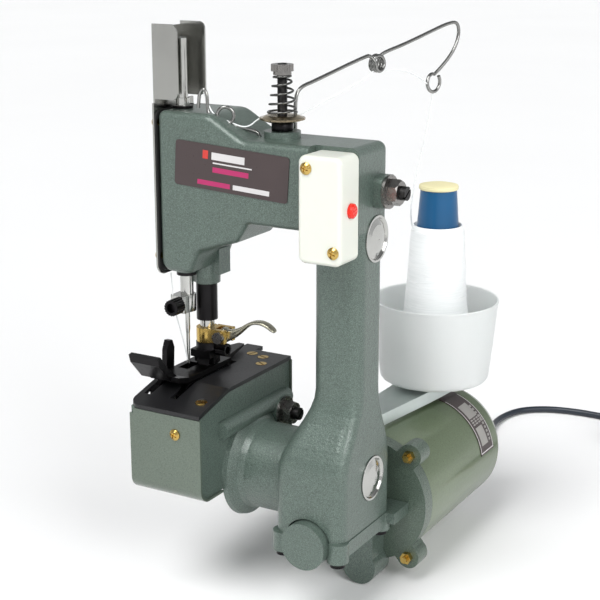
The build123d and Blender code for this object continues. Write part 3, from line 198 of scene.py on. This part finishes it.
def metal(name, colour, rough=0.25, grain=0.08, stretch=(1, 1, 1), scale=400.0, wear=0.1):
    """Metal with fine tooling grain and slow tone variation."""
    s = Shader(name).set(Metallic=1.0)
    tooling = s.noise(scale, 3.0, stretch)
    slow = s.noise(35.0, 3.0)
    tone = s.ramp(slow, [(0.25, shade(colour, 1 - wear)), (0.75, shade(colour, 1 + wear))])
    gloss = s.span(tooling, max(rough - grain, 0.03), rough + grain)
    return s.done(tone, gloss, s.bump(tooling, 0.00004, 0.4))


def plastic(name, colour, rough=0.4, speck=0.06, bump=0.00005, scale=900.0, **sockets):
    """Moulded plastic with fine texture and slight tone variation."""
    s = Shader(name).set(**sockets)
    slow = s.noise(22.0, 3.0)
    fine = s.noise(scale, 2.0)
    tone = s.ramp(slow, [(0.3, shade(colour, 1 - speck)), (0.7, shade(colour, 1 + speck))])
    return s.done(tone, s.span(fine, rough - 0.06, rough + 0.08), s.bump(fine, bump, 0.5))


def milky():
    """Thin translucent polypropylene."""
    s = Shader("milky_polypropylene").set(Transmission_Weight=0.3, IOR=1.49, Subsurface_Weight=0.35)
    s.bsdf.inputs["Subsurface Radius"].default_value = (0.012, 0.012, 0.012)
    slow = s.noise(30.0, 2.0, (1, 1, 0.2))
    tone = s.ramp(slow, [(0.3, (0.86, 0.89, 0.88)), (0.7, (0.92, 0.945, 0.935))])
    return s.done(tone, s.span(slow, 0.30, 0.42), s.bump(s.noise(200.0, 2.0, (1, 1, 0.1)), 0.0001, 0.3))


def wound():
    """Glazed polyester thread laid in fine turns."""
    s = Shader("wound_thread").set(Sheen_Weight=0.25, Subsurface_Weight=0.1)
    s.bsdf.inputs["Subsurface Radius"].default_value = (0.003, 0.003, 0.003)
    turns = s.noise(900.0, 2.0, (0.06, 0.06, 1.6))
    slow = s.noise(60.0, 2.0, (0.4, 0.4, 2.0))
    tone = s.ramp(turns, [(0.3, (0.80, 0.83, 0.83)), (0.6, (0.93, 0.95, 0.95))])
    soft = s.ramp(slow, [(0.3, (0.86, 0.885, 0.885)), (0.7, (0.93, 0.95, 0.95))])
    colour = s.mix(s.span(slow, 0.3, 0.7), tone, soft)
    return s.done(colour, s.span(turns, 0.5, 0.66), s.bump(turns, 0.0001, 0.4))


def threaded(name, colour):
    """Dark steel with fine turned grooves."""
    s = Shader(name).set(Metallic=1.0)
    grain = s.noise(500.0, 2.0)
    tone = s.ramp(grain, [(0.3, shade(colour, 0.6)), (0.7, shade(colour, 1.5))])
    return s.done(tone, s.span(grain, 0.3, 0.5), s.bump(grain, 0.00005, 0.4))


MATERIALS = {
    "hammertone": hammertone(),
    "cover_paint": sheet_enamel(),
    "stainless": metal("stainless_sheet", (0.40, 0.40, 0.38), 0.20, 0.08, (60, 60, 1), 120.0),
    "steel": metal("turned_steel", (0.26, 0.25, 0.24), 0.28, 0.10),
    "bright_steel": metal("bright_steel", (0.52, 0.52, 0.50), 0.14, 0.05),
    "galvanised": metal("galvanised_sheet", (0.62, 0.68, 0.66), 0.36, 0.10, scale=90.0),
    "brass": metal("gilt_brass", (0.58, 0.40, 0.12), 0.24, 0.08, wear=0.25),
    "black_steel": metal("black_oxide_steel", (0.022, 0.021, 0.022), 0.34, 0.10, wear=0.3),
    "black_plate": plastic("black_satin_plate", (0.010, 0.010, 0.011), 0.36),
    "black_plastic": plastic("black_plastic", (0.02, 0.02, 0.02), 0.5),
    "white_plastic": plastic("ivory_plastic", (0.76, 0.76, 0.68), 0.30, 0.02, Subsurface_Weight=0.05),
    "milky_plastic": milky(),
    "red_plastic": plastic("red_button_plastic", (0.80, 0.018, 0.008), 0.26),
    "label": plastic("label_film", (0.052, 0.036, 0.036), 0.30),
    "blue_card": plastic("blue_card", (0.002, 0.085, 0.215), 0.34, 0.12),
    "cream_card": plastic("cream_card", (0.80, 0.74, 0.44), 0.6, 0.08),
    "thread": wound(),
    "nylon": plastic("nylon", (0.70, 0.66, 0.55), 0.5),
    "cord_rubber": plastic("cord_rubber", (0.014, 0.020, 0.030), 0.36, 0.1),
    "gasket": plastic("gasket_rubber", (0.012, 0.012, 0.012), 0.6),
    "cream_steel": metal("plated_lever_steel", (0.48, 0.46, 0.36), 0.24, 0.1),
}
DARK_STEEL = metal("dark_spring_steel", (0.13, 0.13, 0.125), 0.24, 0.08)
WIRE_STEEL = metal("wire_steel", (0.30, 0.30, 0.29), 0.22, 0.08)
THREADED_STEEL = threaded("black_threaded_steel", (0.035, 0.034, 0.034))
DISC_BRASS = metal("tension_disc_plate", (0.42, 0.35, 0.24), 0.22, 0.08, wear=0.2)
MOTOR_PAINT = sheet_enamel("motor_enamel", (0.125, 0.168, 0.092))
CAST_PAINT = hammertone("motor_casting_enamel", (0.085, 0.120, 0.092))


def wear(piece, material):
    """Gives a piece a material of its own in place of its slot's."""
    piece.data.materials.clear()
    piece.data.materials.append(material)


def paint_frame():
    """Gives every CAD node the material of its slot, and a few nodes their own."""
    for part in frame["record"]["subparts"]:
        wear(NODES[part["node"]], MATERIALS[part["material_slot"]])
    wear(NODES["motor_shell"], MOTOR_PAINT)
    wear(NODES["motor_rear_cap"], MOTOR_PAINT)
    wear(NODES["motor_endbell"], CAST_PAINT)
    wear(NODES["tension_discs"], DISC_BRASS)
    wear(NODES["pivot_studs"], THREADED_STEEL)


# ---- stage -----------------------------------------------------------------------------------
def add_camera():
    """Camera a little above the arm, in front and to the right of the machine."""
    azimuth, elevation, distance = math.radians(30.0), math.radians(15.5), 0.800
    target = Vector((-0.0238, -0.0141, 0.0132))
    level = math.cos(elevation)
    back = Vector((math.sin(azimuth) * level, -math.cos(azimuth) * level, math.sin(elevation)))
    data = bpy.data.cameras.new("camera")
    data.lens = 84.0
    data.sensor_width = 36.0
    camera = bpy.data.objects.new("camera", data)
    camera.location = target + back * distance
    camera.rotation_euler = back.to_track_quat("Z", "Y").to_euler()
    bpy.context.scene.collection.objects.link(camera)
    bpy.context.scene.camera = camera


def add_light(name, place, aim, size, power, colour=(1, 1, 1)):
    """Square area light at a place, aimed at a point."""
    data = bpy.data.lights.new(name, "AREA")
    data.size = size
    data.energy = power
    data.color = colour
    lamp = bpy.data.objects.new(name, data)
    lamp.location = place
    lamp.rotation_euler = (Vector(place) - Vector(aim)).to_track_quat("Z", "Y").to_euler()
    bpy.context.scene.collection.objects.link(lamp)


def add_sky_light(name, come_from, strength, spread):
    """Soft parallel light from a direction; spread is its apparent width in degrees."""
    data = bpy.data.lights.new(name, "SUN")
    data.energy = strength
    data.angle = math.radians(spread)
    lamp = bpy.data.objects.new(name, data)
    lamp.rotation_euler = Vector(come_from).to_track_quat("Z", "Y").to_euler()
    bpy.context.scene.collection.objects.link(lamp)


def add_world():
    """Pale surround, brighter near the horizon than overhead."""
    world = bpy.data.worlds.new("world")
    world.use_nodes = True
    tree = world.node_tree
    place = tree.nodes.new("ShaderNodeTexCoord")
    split = tree.nodes.new("ShaderNodeSeparateXYZ")
    ramp = tree.nodes.new("ShaderNodeValToRGB")
    ramp.color_ramp.elements[0].position = 0.0
    ramp.color_ramp.elements[0].color = (0.72, 0.73, 0.74, 1)
    ramp.color_ramp.elements[1].position = 0.75
    ramp.color_ramp.elements[1].color = (0.22, 0.225, 0.23, 1)
    tree.links.new(place.outputs["Generated"], split.inputs["Vector"])
    tree.links.new(split.outputs["Z"], ramp.inputs["Fac"])
    tree.links.new(ramp.outputs["Color"], tree.nodes["Background"].inputs["Color"])
    tree.nodes["Background"].inputs["Strength"].default_value = 1.0
    bpy.context.scene.world = world


def add_stage():
    """Pale floor, pale surround and soft lights."""
    low = min(cad_box[0][2], cad_box[1][2]) - 0.0005
    mesh = bpy.data.meshes.new("floor")
    mesh.from_pydata([(-9, -9, low), (9, -9, low), (9, 9, low), (-9, 9, low)], [], [(0, 1, 2, 3)])
    floor = bpy.data.objects.new("floor", mesh)
    bpy.context.scene.collection.objects.link(floor)
    s = Shader("floor_paper").set(Roughness=0.9, Specular_IOR_Level=0.1)
    paper = s.ramp(s.noise(2.0), [(0.3, (0.915, 0.915, 0.915)), (0.7, (0.93, 0.93, 0.93))])
    mesh.materials.append(s.done(paper))
    add_world()
    add_sky_light("key", (-0.10, -0.62, 0.95), 2.3, 34)
    add_sky_light("fill", (0.90, -0.30, 0.60), 0.85, 40)
    add_light("strip", (0.75, -0.55, 0.55), (-0.03, 0.05, 0), 0.35, 3.0)
    bpy.context.scene.view_settings.view_transform = "Standard"


# ---- piece helpers ---------------------------------------------------------------------------
def add_object(name, data, slot, body="frame", stands_for=(), material=None):
    """Links data as a piece that rides on a body, in a material of its own or that of its slot."""
    piece = bpy.data.objects.new(name, data)
    bpy.context.scene.collection.objects.link(piece)
    data.materials.append(material or MATERIALS[slot])
    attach(piece, body)
    if stands_for:
        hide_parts(*stands_for)
    return piece


def nurbs(name, points, radius, order=3):
    """Round wire or thread on one smooth NURBS line."""
    curve = bpy.data.curves.new(name, "CURVE")
    curve.dimensions = "3D"
    spline = curve.splines.new("NURBS")
    spline.points.add(len(points) - 1)
    for point, place in zip(spline.points, points):
        point.co = (*place, 1)
    spline.order_u = order
    spline.use_endpoint_u = True
    curve.resolution_u = 8
    curve.bevel_depth = radius
    curve.bevel_resolution = 5
    curve.use_fill_caps = True
    return curve


def lathe(name, profile, steps=96, wave=None):
    """Closed (radius, height) profile in mm turned about Z; wave(angle, height) adds to the radius."""
    mesh = bpy.data.meshes.new(name)
    made = bmesh.new()
    rings = []
    for i in range(steps):
        a = 2 * math.pi * i / steps
        ring = []
        for r, z in profile:
            reach = r + (wave(a, z) if wave else 0.0)
            ring.append(made.verts.new((reach * math.cos(a) * MM, reach * math.sin(a) * MM, z * MM)))
        rings.append(ring)
    count = len(profile)
    for i, ring in enumerate(rings):
        after = rings[(i + 1) % steps]
        for k in range(count):
            n = (k + 1) % count
            made.faces.new((ring[k], after[k], after[n], ring[n]))
    bmesh.ops.recalc_face_normals(made, faces=made.faces)
    made.to_mesh(mesh)
    made.free()
    for face in mesh.polygons:
        face.use_smooth = True
    return mesh


def swept(name, line, section, sizes):
    """Mesh with a (side, up) section carried along a line of (point, side, up) stations, capped."""
    mesh = bpy.data.meshes.new(name)
    made = bmesh.new()
    rings = []
    for (point, side, up), (wide, thick) in zip(line, sizes):
        rings.append([made.verts.new(point + side * (s * wide) + up * (u * thick)) for s, u in section])
    for first, second in zip(rings, rings[1:]):
        for k in range(len(section)):
            n = (k + 1) % len(section)
            made.faces.new((first[k], second[k], second[n], first[n]))
    made.faces.new(rings[0][::-1])
    made.faces.new(rings[-1])
    bmesh.ops.recalc_face_normals(made, faces=made.faces)
    made.to_mesh(mesh)
    made.free()
    for face in mesh.polygons:
        face.use_smooth = True
    return mesh


def ring_points(centre, across, up, radius, start, sweep, count, drift=Vector((0, 0, 0))):
    """Points round an arc in the plane of two unit vectors, in degrees, drifting evenly sideways."""
    points = []
    for i in range(count + 1):
        share = i / count
        a = math.radians(start + sweep * share)
        place = centre + across * (radius * math.cos(a)) + up * (radius * math.sin(a))
        points.append(place + drift * (share - 0.5))
    return points


# ---- thread stand ----------------------------------------------------------------------------
BOWL = (-22.7, 172.0, 71.0)
PACKAGE = [(25.0, 79.0), (26.0, 83.0), (25.0, 92.0), (22.6, 108.0), (20.6, 124.0), (19.4, 140.0),
           (18.2, 160.0), (17.4, 172.0), (16.0, 175.5)]


def package_radius(z):
    """Radius of the wound thread at a height, between the stations of PACKAGE."""
    for (r0, z0), (r1, z1) in zip(PACKAGE, PACKAGE[1:]):
        if z <= z1:
            return r0 + (r1 - r0) * max(z - z0, 0) / (z1 - z0)
    return PACKAGE[-1][0]


def package_strand(turns, passes, start, radius):
    """One strand that climbs and falls over the package in steep crossing turns."""
    low, top, steps = PACKAGE[0][1], PACKAGE[-1][1], 24
    points = []
    for i in range(int(passes * turns * steps)):
        travel = i / (turns * steps)
        share = travel % 2
        share = share if share < 1 else 2 - share
        z = low + 2.5 + (top - low - 4.5) * share
        a = 2 * math.pi * i / steps + start
        r = package_radius(z) + 0.04
        points.append(at(BOWL[0] + r * math.cos(a), BOWL[1] + r * math.sin(a), z))
    return nurbs("thread_strand", points, radius * MM)


def add_thread_package():
    """Wound thread: a smooth body of fine turns with a few steeper strands over it."""
    low, top, core = PACKAGE[0][1], PACKAGE[-1][1], 15.0
    rows = 190
    pitch = (top - low) / rows
    heights = [low + pitch * i for i in range(rows + 1)]
    profile = [(package_radius(z) - 0.1, z) for z in heights]
    profile += [(core + 0.5, top), (core + 5.2, low)]

    def wave(angle, z):
        if z in (low, top):
            return 0.0
        climb = 0.21 * (z - low)
        return 0.10 * math.sin(angle + climb) + 0.07 * math.sin(2 * angle - 1.7 * climb)

    mesh = lathe("wound_thread", profile, 120, wave)
    body = add_object("wound_thread", mesh, "thread", stands_for=("thread_package",))
    body.location = at(BOWL[0], BOWL[1], 0)
    add_object("thread_strand_a", package_strand(3.6, 2, 0.4, 0.17), "thread")
    add_object("thread_strand_b", package_strand(5.3, 2, 2.3, 0.15), "thread")


def add_bowl():
    """Translucent bowl with rounded foot, thin wall and a soft lip."""
    floor, wall, high = BOWL[2], 1.5, 55.0
    outer = [(4.2, 0.0), (20.0, 0.0), (32.2, 0.0), (34.8, 0.5), (36.0, 2.2), (36.5, 5.0), (38.0, 20.0)]
    outer += [(39.7, 38.0)]
    lip = [(40.9, high - 2.5), (41.5, high - 1.2), (41.5, high - 0.2), (40.9, high)]
    lip += [(40.2, high - 0.3), (39.8, high - 1.5)]
    inner = [(r - wall, z) for r, z in outer[7:4:-1]] + [(34.4, 3.4), (32.6, 1.8), (20.0, 1.5), (4.2, 1.5)]
    mesh = lathe("bowl_shell", [(r, floor + z) for r, z in outer + lip + inner], 96)
    bowl = add_object("bowl_shell", mesh, "milky_plastic", stands_for=("thread_bowl",))
    bowl.location = at(BOWL[0], BOWL[1], 0)
    smooth = bowl.modifiers.new("smooth", "SUBSURF")
    smooth.levels = 1
    smooth.render_levels = 2


# ---- springs, wires, thread ------------------------------------------------------------------
POST = (-56.0, 30.0)
WIRE_SIDE = Vector((139.0, -31.3, 0.0)).normalized()
WIRE_ALONG = Vector((31.3, 139.0, 0.0)).normalized()


def add_tension_post():
    """Black threaded post standing in a black bush."""
    low, top, core, crest, root = 244.7, 290.8, 0.05, 2.95, 2.6
    profile = [(core, low), (2.7, low), (2.7, 260.0)]
    pitch, z = 0.7, 260.0
    while z < 289.6:
        profile += [(crest, z + 0.2 * pitch), (crest, z + 0.35 * pitch)]
        profile += [(root, z + 0.75 * pitch), (root, z + 0.9 * pitch)]
        z += pitch
    profile += [(root, 290.4), (2.2, top), (core, top)]
    mesh = lathe("threaded_post", profile, 48)
    post = add_object("threaded_post", mesh, "steel", stands_for=("tension_post",))
    post.location = at(POST[0], POST[1], 0)
    wear(post, THREADED_STEEL)
    outline = [(3.0, 253.06), (6.0, 253.06), (6.2, 253.3), (6.2, 257.6), (5.8, 258.0), (3.0, 258.0)]
    seat = add_object("post_bush", lathe("post_bush", outline, 64), "steel")
    seat.location = at(POST[0], POST[1], 0)
    wear(seat, MATERIALS["black_steel"])


def add_tension_spring():
    """Conical wire spring, wide below, with a closed last turn at each end."""
    low, top, turns, steps = 263.4, 283.6, 5.4, 24
    points = []
    for i in range(int(turns * steps) + 1):
        t = i / steps
        lift = min(max((t - 0.7) / (turns - 1.4), 0.0), 1.0)
        r = 8.2 - 3.4 * lift ** 0.9
        a = 2 * math.pi * t
        z = low + (top - low) * lift
        points.append(at(POST[0] + r * math.cos(a), POST[1] + r * math.sin(a), z))
    coil = nurbs("conical_spring", points, 0.65 * MM)
    add_object("conical_spring", coil, "steel", stands_for=("tension_spring",), material=DARK_STEEL)


def long_wire_points():
    """Line of the long guide: post, rising run, small coil, second run, bend and closed eye."""
    coil, eye = at(-36.8, 109.0, 284.6), at(-24.7, 163.6, 268.0)
    points = [at(-56, 44.5, 244.8), at(-56, 44.5, 258), at(-56, 44.5, 270), at(-55, 48, 275.5)]
    points += [at(-51.5, 59, 278.2), at(-44, 83.5, 285.2), at(-39.3, 98.5, 289.2), at(-38.3, 102.0, 289.8)]
    points += ring_points(coil, WIRE_ALONG, UP, 4.6 * MM, 170, 2.5 * 360 + 10, 44, WIRE_SIDE * (-5.6 * MM))
    points += [coil + WIRE_ALONG * 0.0056 + UP * 0.0048 - WIRE_SIDE * 0.0028]
    points += [at(-30.5, 133.0, 294.2), at(-24.5, 162.0, 301.0), at(-21.5, 176.5, 304.2)]
    points += [at(-19.4, 186.0, 304.8), at(-18.9, 188.8, 298.0), at(-19.6, 185.5, 289.5)]
    points += [at(-21.4, 177.5, 281.5)]
    points += ring_points(eye, WIRE_ALONG, UP, 5.6 * MM, 62, 345, 20, WIRE_SIDE * (2.4 * MM))
    return points


def short_wire_points():
    """Line of the short guide: foot beside the post, open loop, then the upright hairpin."""
    side = Vector((0.86, 0.51, 0)).normalized()
    loop = at(-86.0, 17.5, 260.8)
    points = [at(-69, 27, 244.8), at(-69, 27, 250), at(-71.5, 25.6, 252.2), at(-79, 21.5, 254.4)]
    points += ring_points(loop, side, UP, 4.9 * MM, -80, 360, 20, Vector((-0.0008, 0.0022, 0)))
    points += [at(-92.5, 15.2, 257.5), at(-96.0, 15.2, 261.0), at(-96.9, 15.6, 266.0), at(-97.3, 16, 272.5)]
    points += [at(-99.6, 16, 275.8), at(-102.4, 16, 272.8), at(-103.0, 16, 268.0), at(-103.4, 16, 264.4)]
    return points


def add_guide_wires():
    """Both spring-wire guides."""
    line = nurbs("guide_wire_long", long_wire_points(), 1.1 * MM)
    add_object("guide_wire_long", line, "bright_steel", stands_for=("guide_wires",), material=WIRE_STEEL)
    line = nurbs("guide_wire_short", short_wire_points(), 1.0 * MM)
    add_object("guide_wire_short", line, "bright_steel", material=WIRE_STEEL)


def sagging(start, end, sag, count=5):
    """Points of a slack thread between two points."""
    points = []
    for i in range(count + 1):
        t = i / count
        points.append(start.lerp(end, t) - UP * (4 * sag * t * (1 - t)))
    return points


def add_thread_runs():
    """Thread from the cone through both guides and the tension discs, and down past the needle."""
    cone = at(-39.5, 164.0, 178.0)
    eye = at(-24.7, 163.6, 262.6)
    coil = at(-36.8, 109.0, 280.4)
    disc_back, disc_front = at(-50.0, 38.5, 261.0), at(-66.5, 23.5, 261.0)
    loop = at(-84.5, 18.5, 257.4)
    points = [at(-38.8, 171.0, 168.0), cone, at(-35.5, 160.5, 200.0), at(-27.0, 162.0, 240.0)]
    points += [eye - UP * 0.002, eye + UP * 0.0015 - WIRE_ALONG * 0.001]
    points += [at(-27.5, 152.0, 272.0), at(-31.5, 134.0, 279.0)]
    points += [coil + WIRE_ALONG * 0.004, coil - WIRE_ALONG * 0.004]
    points += sagging(at(-38.5, 99.0, 277.0), disc_back, 0.0, 4)
    add_object("thread_from_cone", nurbs("thread_from_cone", points, 0.42 * MM), "thread")
    points = [disc_back, at(-48.0, 27.0, 261.0), at(-56.0, 21.0, 261.0), disc_front]
    points += [at(-74.0, 21.0, 253.6), loop, at(-93.0, 16.0, 260.5)]
    points += [at(-97.6, 16.2, 268.0), at(-99.7, 16.2, 273.6)]
    add_object("thread_to_hairpin", nurbs("thread_to_hairpin", points, 0.42 * MM), "thread")
    points = sagging(at(-127.2, 18.5, 163.5), at(-126.2, 19.0, 143.5), 0.0, 2)
    points += [at(-124.6, 20.5, 134.0), at(-122.0, 23.6, 118.0), at(-121.0, 25.2, 108.0)]
    add_object("thread_at_needle", nurbs("thread_at_needle", points, 0.38 * MM), "thread", "needle_bar_body")


# ---- lifter lever ----------------------------------------------------------------------------
def add_lifter():
    """Cast lever with a round hub and a flat, curved finger end."""
    pivot = at(-101.5, 37.0, 123.6)
    spine = [(0.0, 0.0), (4.0, 0.8), (8.0, 2.5), (12.0, 5.0), (15.5, 7.8), (19.0, 10.2), (23.0, 11.6),
             (27.5, 11.6), (31.5, 10.2), (35.0, 7.9), (36.2, 7.0)]
    wide = [3.0, 3.0, 2.9, 2.8, 2.8, 2.9, 3.0, 3.0, 2.9, 2.5, 1.5]
    thick = [3.6, 3.4, 2.7, 1.7, 1.3, 1.15, 1.1, 1.1, 1.1, 1.0, 0.6]
    line = []
    for i, (x, z) in enumerate(spine):
        before, after = spine[max(i - 1, 0)], spine[min(i + 1, len(spine) - 1)]
        run = Vector((after[0] - before[0], 0, after[1] - before[1])).normalized()
        line.append((pivot + Vector((x, 0, z)) * MM, Vector((0, 1, 0)), Vector((-run.z, 0, run.x))))
    section = [(-1, -0.55), (-0.8, -1), (0.8, -1), (1, -0.55), (1, 0.55), (0.8, 1), (-0.8, 1), (-1, 0.55)]
    sizes = [(w * MM, t * MM) for w, t in zip(wide, thick)]
    mesh = swept("lifter_handle", line, section, sizes)
    lever = add_object("lifter_handle", mesh, "cream_steel", "lifter", ("lifter_lever",))
    smooth = lever.modifiers.new("smooth", "SUBSURF")
    smooth.levels = 1
    smooth.render_levels = 2
    outline = [(2.03, -2.9), (4.0, -2.9), (4.5, -2.5), (4.5, 2.5), (4.0, 2.9), (2.03, 2.9)]
    hub = lathe("lifter_hub", outline, 48)
    hub.transform(Matrix.Translation(pivot) @ Matrix.Rotation(math.radians(90), 4, "X"))
    add_object("lifter_hub", hub, "cream_steel", "lifter")


# ---- labels ----------------------------------------------------------------------------------
LABEL_MIDDLE = (-76.75, 231.5)
LABEL_TILT = math.radians(3.5)
PRINT_THICK = 0.00012


def print_solid(made, front, inwards):
    """Thin block from its front outline and the step into the surface."""
    near = [made.verts.new(c) for c in front]
    far = [made.verts.new(c + step) for c, step in zip(front, inwards)]
    made.faces.new(near)
    made.faces.new(far[::-1])
    for k in range(len(near)):
        n = (k + 1) % len(near)
        made.faces.new((near[k], far[k], far[n], near[n]))


def print_block(made, x0, x1, z0, z1, y):
    """Printed block on the arm's plate, from offsets about its middle, turned with the plate."""
    front = []
    for x, z in ((x0, z0), (x1, z0), (x1, z1), (x0, z1)):
        turned_x = x * math.cos(LABEL_TILT) + z * math.sin(LABEL_TILT)
        turned_z = z * math.cos(LABEL_TILT) - x * math.sin(LABEL_TILT)
        front.append(at(LABEL_MIDDLE[0] + turned_x, y, LABEL_MIDDLE[1] + turned_z))
    print_solid(made, front, [Vector((0, PRINT_THICK, 0))] * 4)


def print_arc(made, a0, a1, y0, y1, radius):
    """Printed block on the motor's band, between two angles about its axis and two places along it."""
    steps = max(int((a1 - a0) / 3), 1)
    around = [math.radians(a0 + (a1 - a0) * i / steps) for i in range(steps + 1)]
    for first, second in zip(around, around[1:]):
        corners = [(first, y0), (second, y0), (second, y1), (first, y1)]
        outwards = [Vector((math.cos(a), 0, math.sin(a))) for a, y in corners]
        front = [at(MOTOR_AXIS[0] + radius * out.x, y, MOTOR_AXIS[1] + radius * out.z)
                 for out, (a, y) in zip(outwards, corners)]
        print_solid(made, front, [out * -PRINT_THICK for out in outwards])


def printed(name, colour, draw):
    """Piece of printed blocks in one colour; draw adds them to a bmesh."""
    mesh = bpy.data.meshes.new(name)
    made = bmesh.new()
    draw(made)
    bmesh.ops.recalc_face_normals(made, faces=made.faces)
    made.to_mesh(mesh)
    made.free()
    wear(add_object(name, mesh, "label"), PRINTS[colour])


def add_prints():
    """Generic printed bars on the arm's plate and the motor's band; no lettering."""
    light = [(-13, 9, 4.6, 8.8), (-12, 14, 2.4, 3.2), (2, 26, -10.6, -7.8)]
    accent = [(-12, 12, -2.6, 0.4), (-22, 0, -10.6, -7.8)]
    mark = [(-19, -15.4, 4.6, 9.4)]
    groups = {"label_bars_light": ("print_light", light), "label_bar_accent": ("print_accent", accent),
              "label_mark": ("print_red", mark)}
    for name, (colour, bars) in groups.items():
        printed(name, colour, lambda made, bars=bars: [print_block(made, *bar, PLATE_FRONT) for bar in bars])
    edges = [(9, 72, 163.3, 163.9), (9, 72, 182.1, 182.7), (9.0, 10.0, 163.3, 182.7)]
    blocks = [(16, 34, 166.5, 176), (44, 60, 166.5, 178)]
    for i in range(3):
        blocks += [(36.5 + 2.4 * i, 38.0 + 2.4 * i, 166.5 + 4 * k, 169.3 + 4 * k) for k in range(4)]
    blocks += [(17 + 4 * i, 19.4 + 4 * i, 178.0, 180.4) for i in range(10)]
    printed("band_edges", "print_light", lambda made: [print_arc(made, *arc, BAND_RADIUS) for arc in edges])
    printed("band_blocks", "print_grey", lambda made: [print_arc(made, *arc, BAND_RADIUS) for arc in blocks])


# ---- mains lead ------------------------------------------------------------------------------
LEAD_R = 2.5
LEAD_Z = FLOOR + LEAD_R
ROUTE = [(-35, 222, 4), (-35, 246, 4), (-37, 276, -4), (-42, 310, -18), (-49, 344, -27.5),
         (-54, 372, LEAD_Z), (-48, 399, LEAD_Z), (-29, 415, LEAD_Z), (-4, 421, LEAD_Z),
         (22, 420.5, LEAD_Z), (48, 420.6, LEAD_Z), (78, 421.4, LEAD_Z)]
COIL = (78.0, 388.0)                      # middle of the coiled lead
TURNS = 9.25                              # turns of the lead round it


def coil_points():
    """Turns of the coiled lead: four layers, each a spiral a lead's width apart, then down outside."""
    near, far, pitch, lift = 23.4, 33.4, 5.1, 5.06
    sweep, climb, steps = (far - near) / pitch, 0.3, 24
    stages = []
    for layer in range(4):
        inwards = layer % 2 == 0
        r0, r1 = (far, near) if inwards else (near, far)
        stages.append((sweep, r0, r1, layer * lift, layer * lift))
        if layer < 3:
            stages.append((climb, r1, r1, layer * lift, (layer + 1) * lift))
    done = sum(stage[0] for stage in stages)
    rest = TURNS - done
    stages.append((rest * 0.4, far, far + 5.2, 3 * lift, 2.6 * lift))
    stages.append((rest * 0.6, far + 5.2, far + 5.6, 2.6 * lift, 0))
    points, turned = [], 0.0
    for turns, r0, r1, z0, z1 in stages:
        count = max(round(turns * steps), 2)
        for i in range(1, count + 1):
            t = i / count
            a = math.radians(90 - 360 * (turned + turns * t))
            ease = t * t * (3 - 2 * t)
            r = r0 + (r1 - r0) * t
            z = LEAD_Z + z0 + (z1 - z0) * ease
            points.append((COIL[0] + r * math.cos(a), COIL[1] + r * math.sin(a), z))
        turned += turns
    return points


def add_lead():
    """The lead: down to the surface, into its coil, and out to the plug."""
    tail = [(117.0, 377, LEAD_Z), (114.5, 367, LEAD_Z), (110, 360, LEAD_Z + 0.5)]
    tail += [(107.3, 355, LEAD_Z + 1.2), (107, 350, LEAD_Z + 1.7), (107, 345, LEAD_Z + 1.7)]
    points = [at(*p) for p in ROUTE + coil_points() + tail]
    curve = nurbs("mains_lead", points, LEAD_R * MM)
    curve.resolution_u = 6
    curve.bevel_resolution = 6
    lead = add_object("mains_lead", curve, "cord_rubber", stands_for=("power_cord", "cord_coil"))


def soften_edges():
    """Welds and bevels the sharp edges of block-like nodes."""
    widths = {"needle_clamp": 0.35, "foot_holder": 0.4, "presser_foot": 0.5, "throat_plate": 0.25,
              "presser_collar": 0.35, "face_plate": 0.15, "cone_bracket": 0.3, "feed_dog": 0.12}
    for name, width in widths.items():
        node = NODES[name]
        weld = node.modifiers.new("weld", "WELD")
        weld.merge_threshold = 0.000005
        bevel = node.modifiers.new("bevel", "BEVEL")
        bevel.width = width * MM
        bevel.segments = 2
        bevel.limit_method = "ANGLE"
        bevel.angle_limit = math.radians(40)
        bevel.harden_normals = True


PRINTS = {
    "print_light": plastic("print_light", (0.62, 0.60, 0.60), 0.45),
    "print_accent": plastic("print_accent", (0.42, 0.02, 0.12), 0.45),
    "print_red": plastic("print_red", (0.55, 0.04, 0.03), 0.45),
    "print_grey": plastic("print_grey", (0.34, 0.33, 0.31), 0.5, 0.2),
}

paint_frame()
add_stage()
add_camera()
add_thread_package()
add_bowl()
add_tension_post()
add_tension_spring()
add_guide_wires()
add_thread_runs()
add_lifter()
add_prints()
add_lead()
soften_edges()
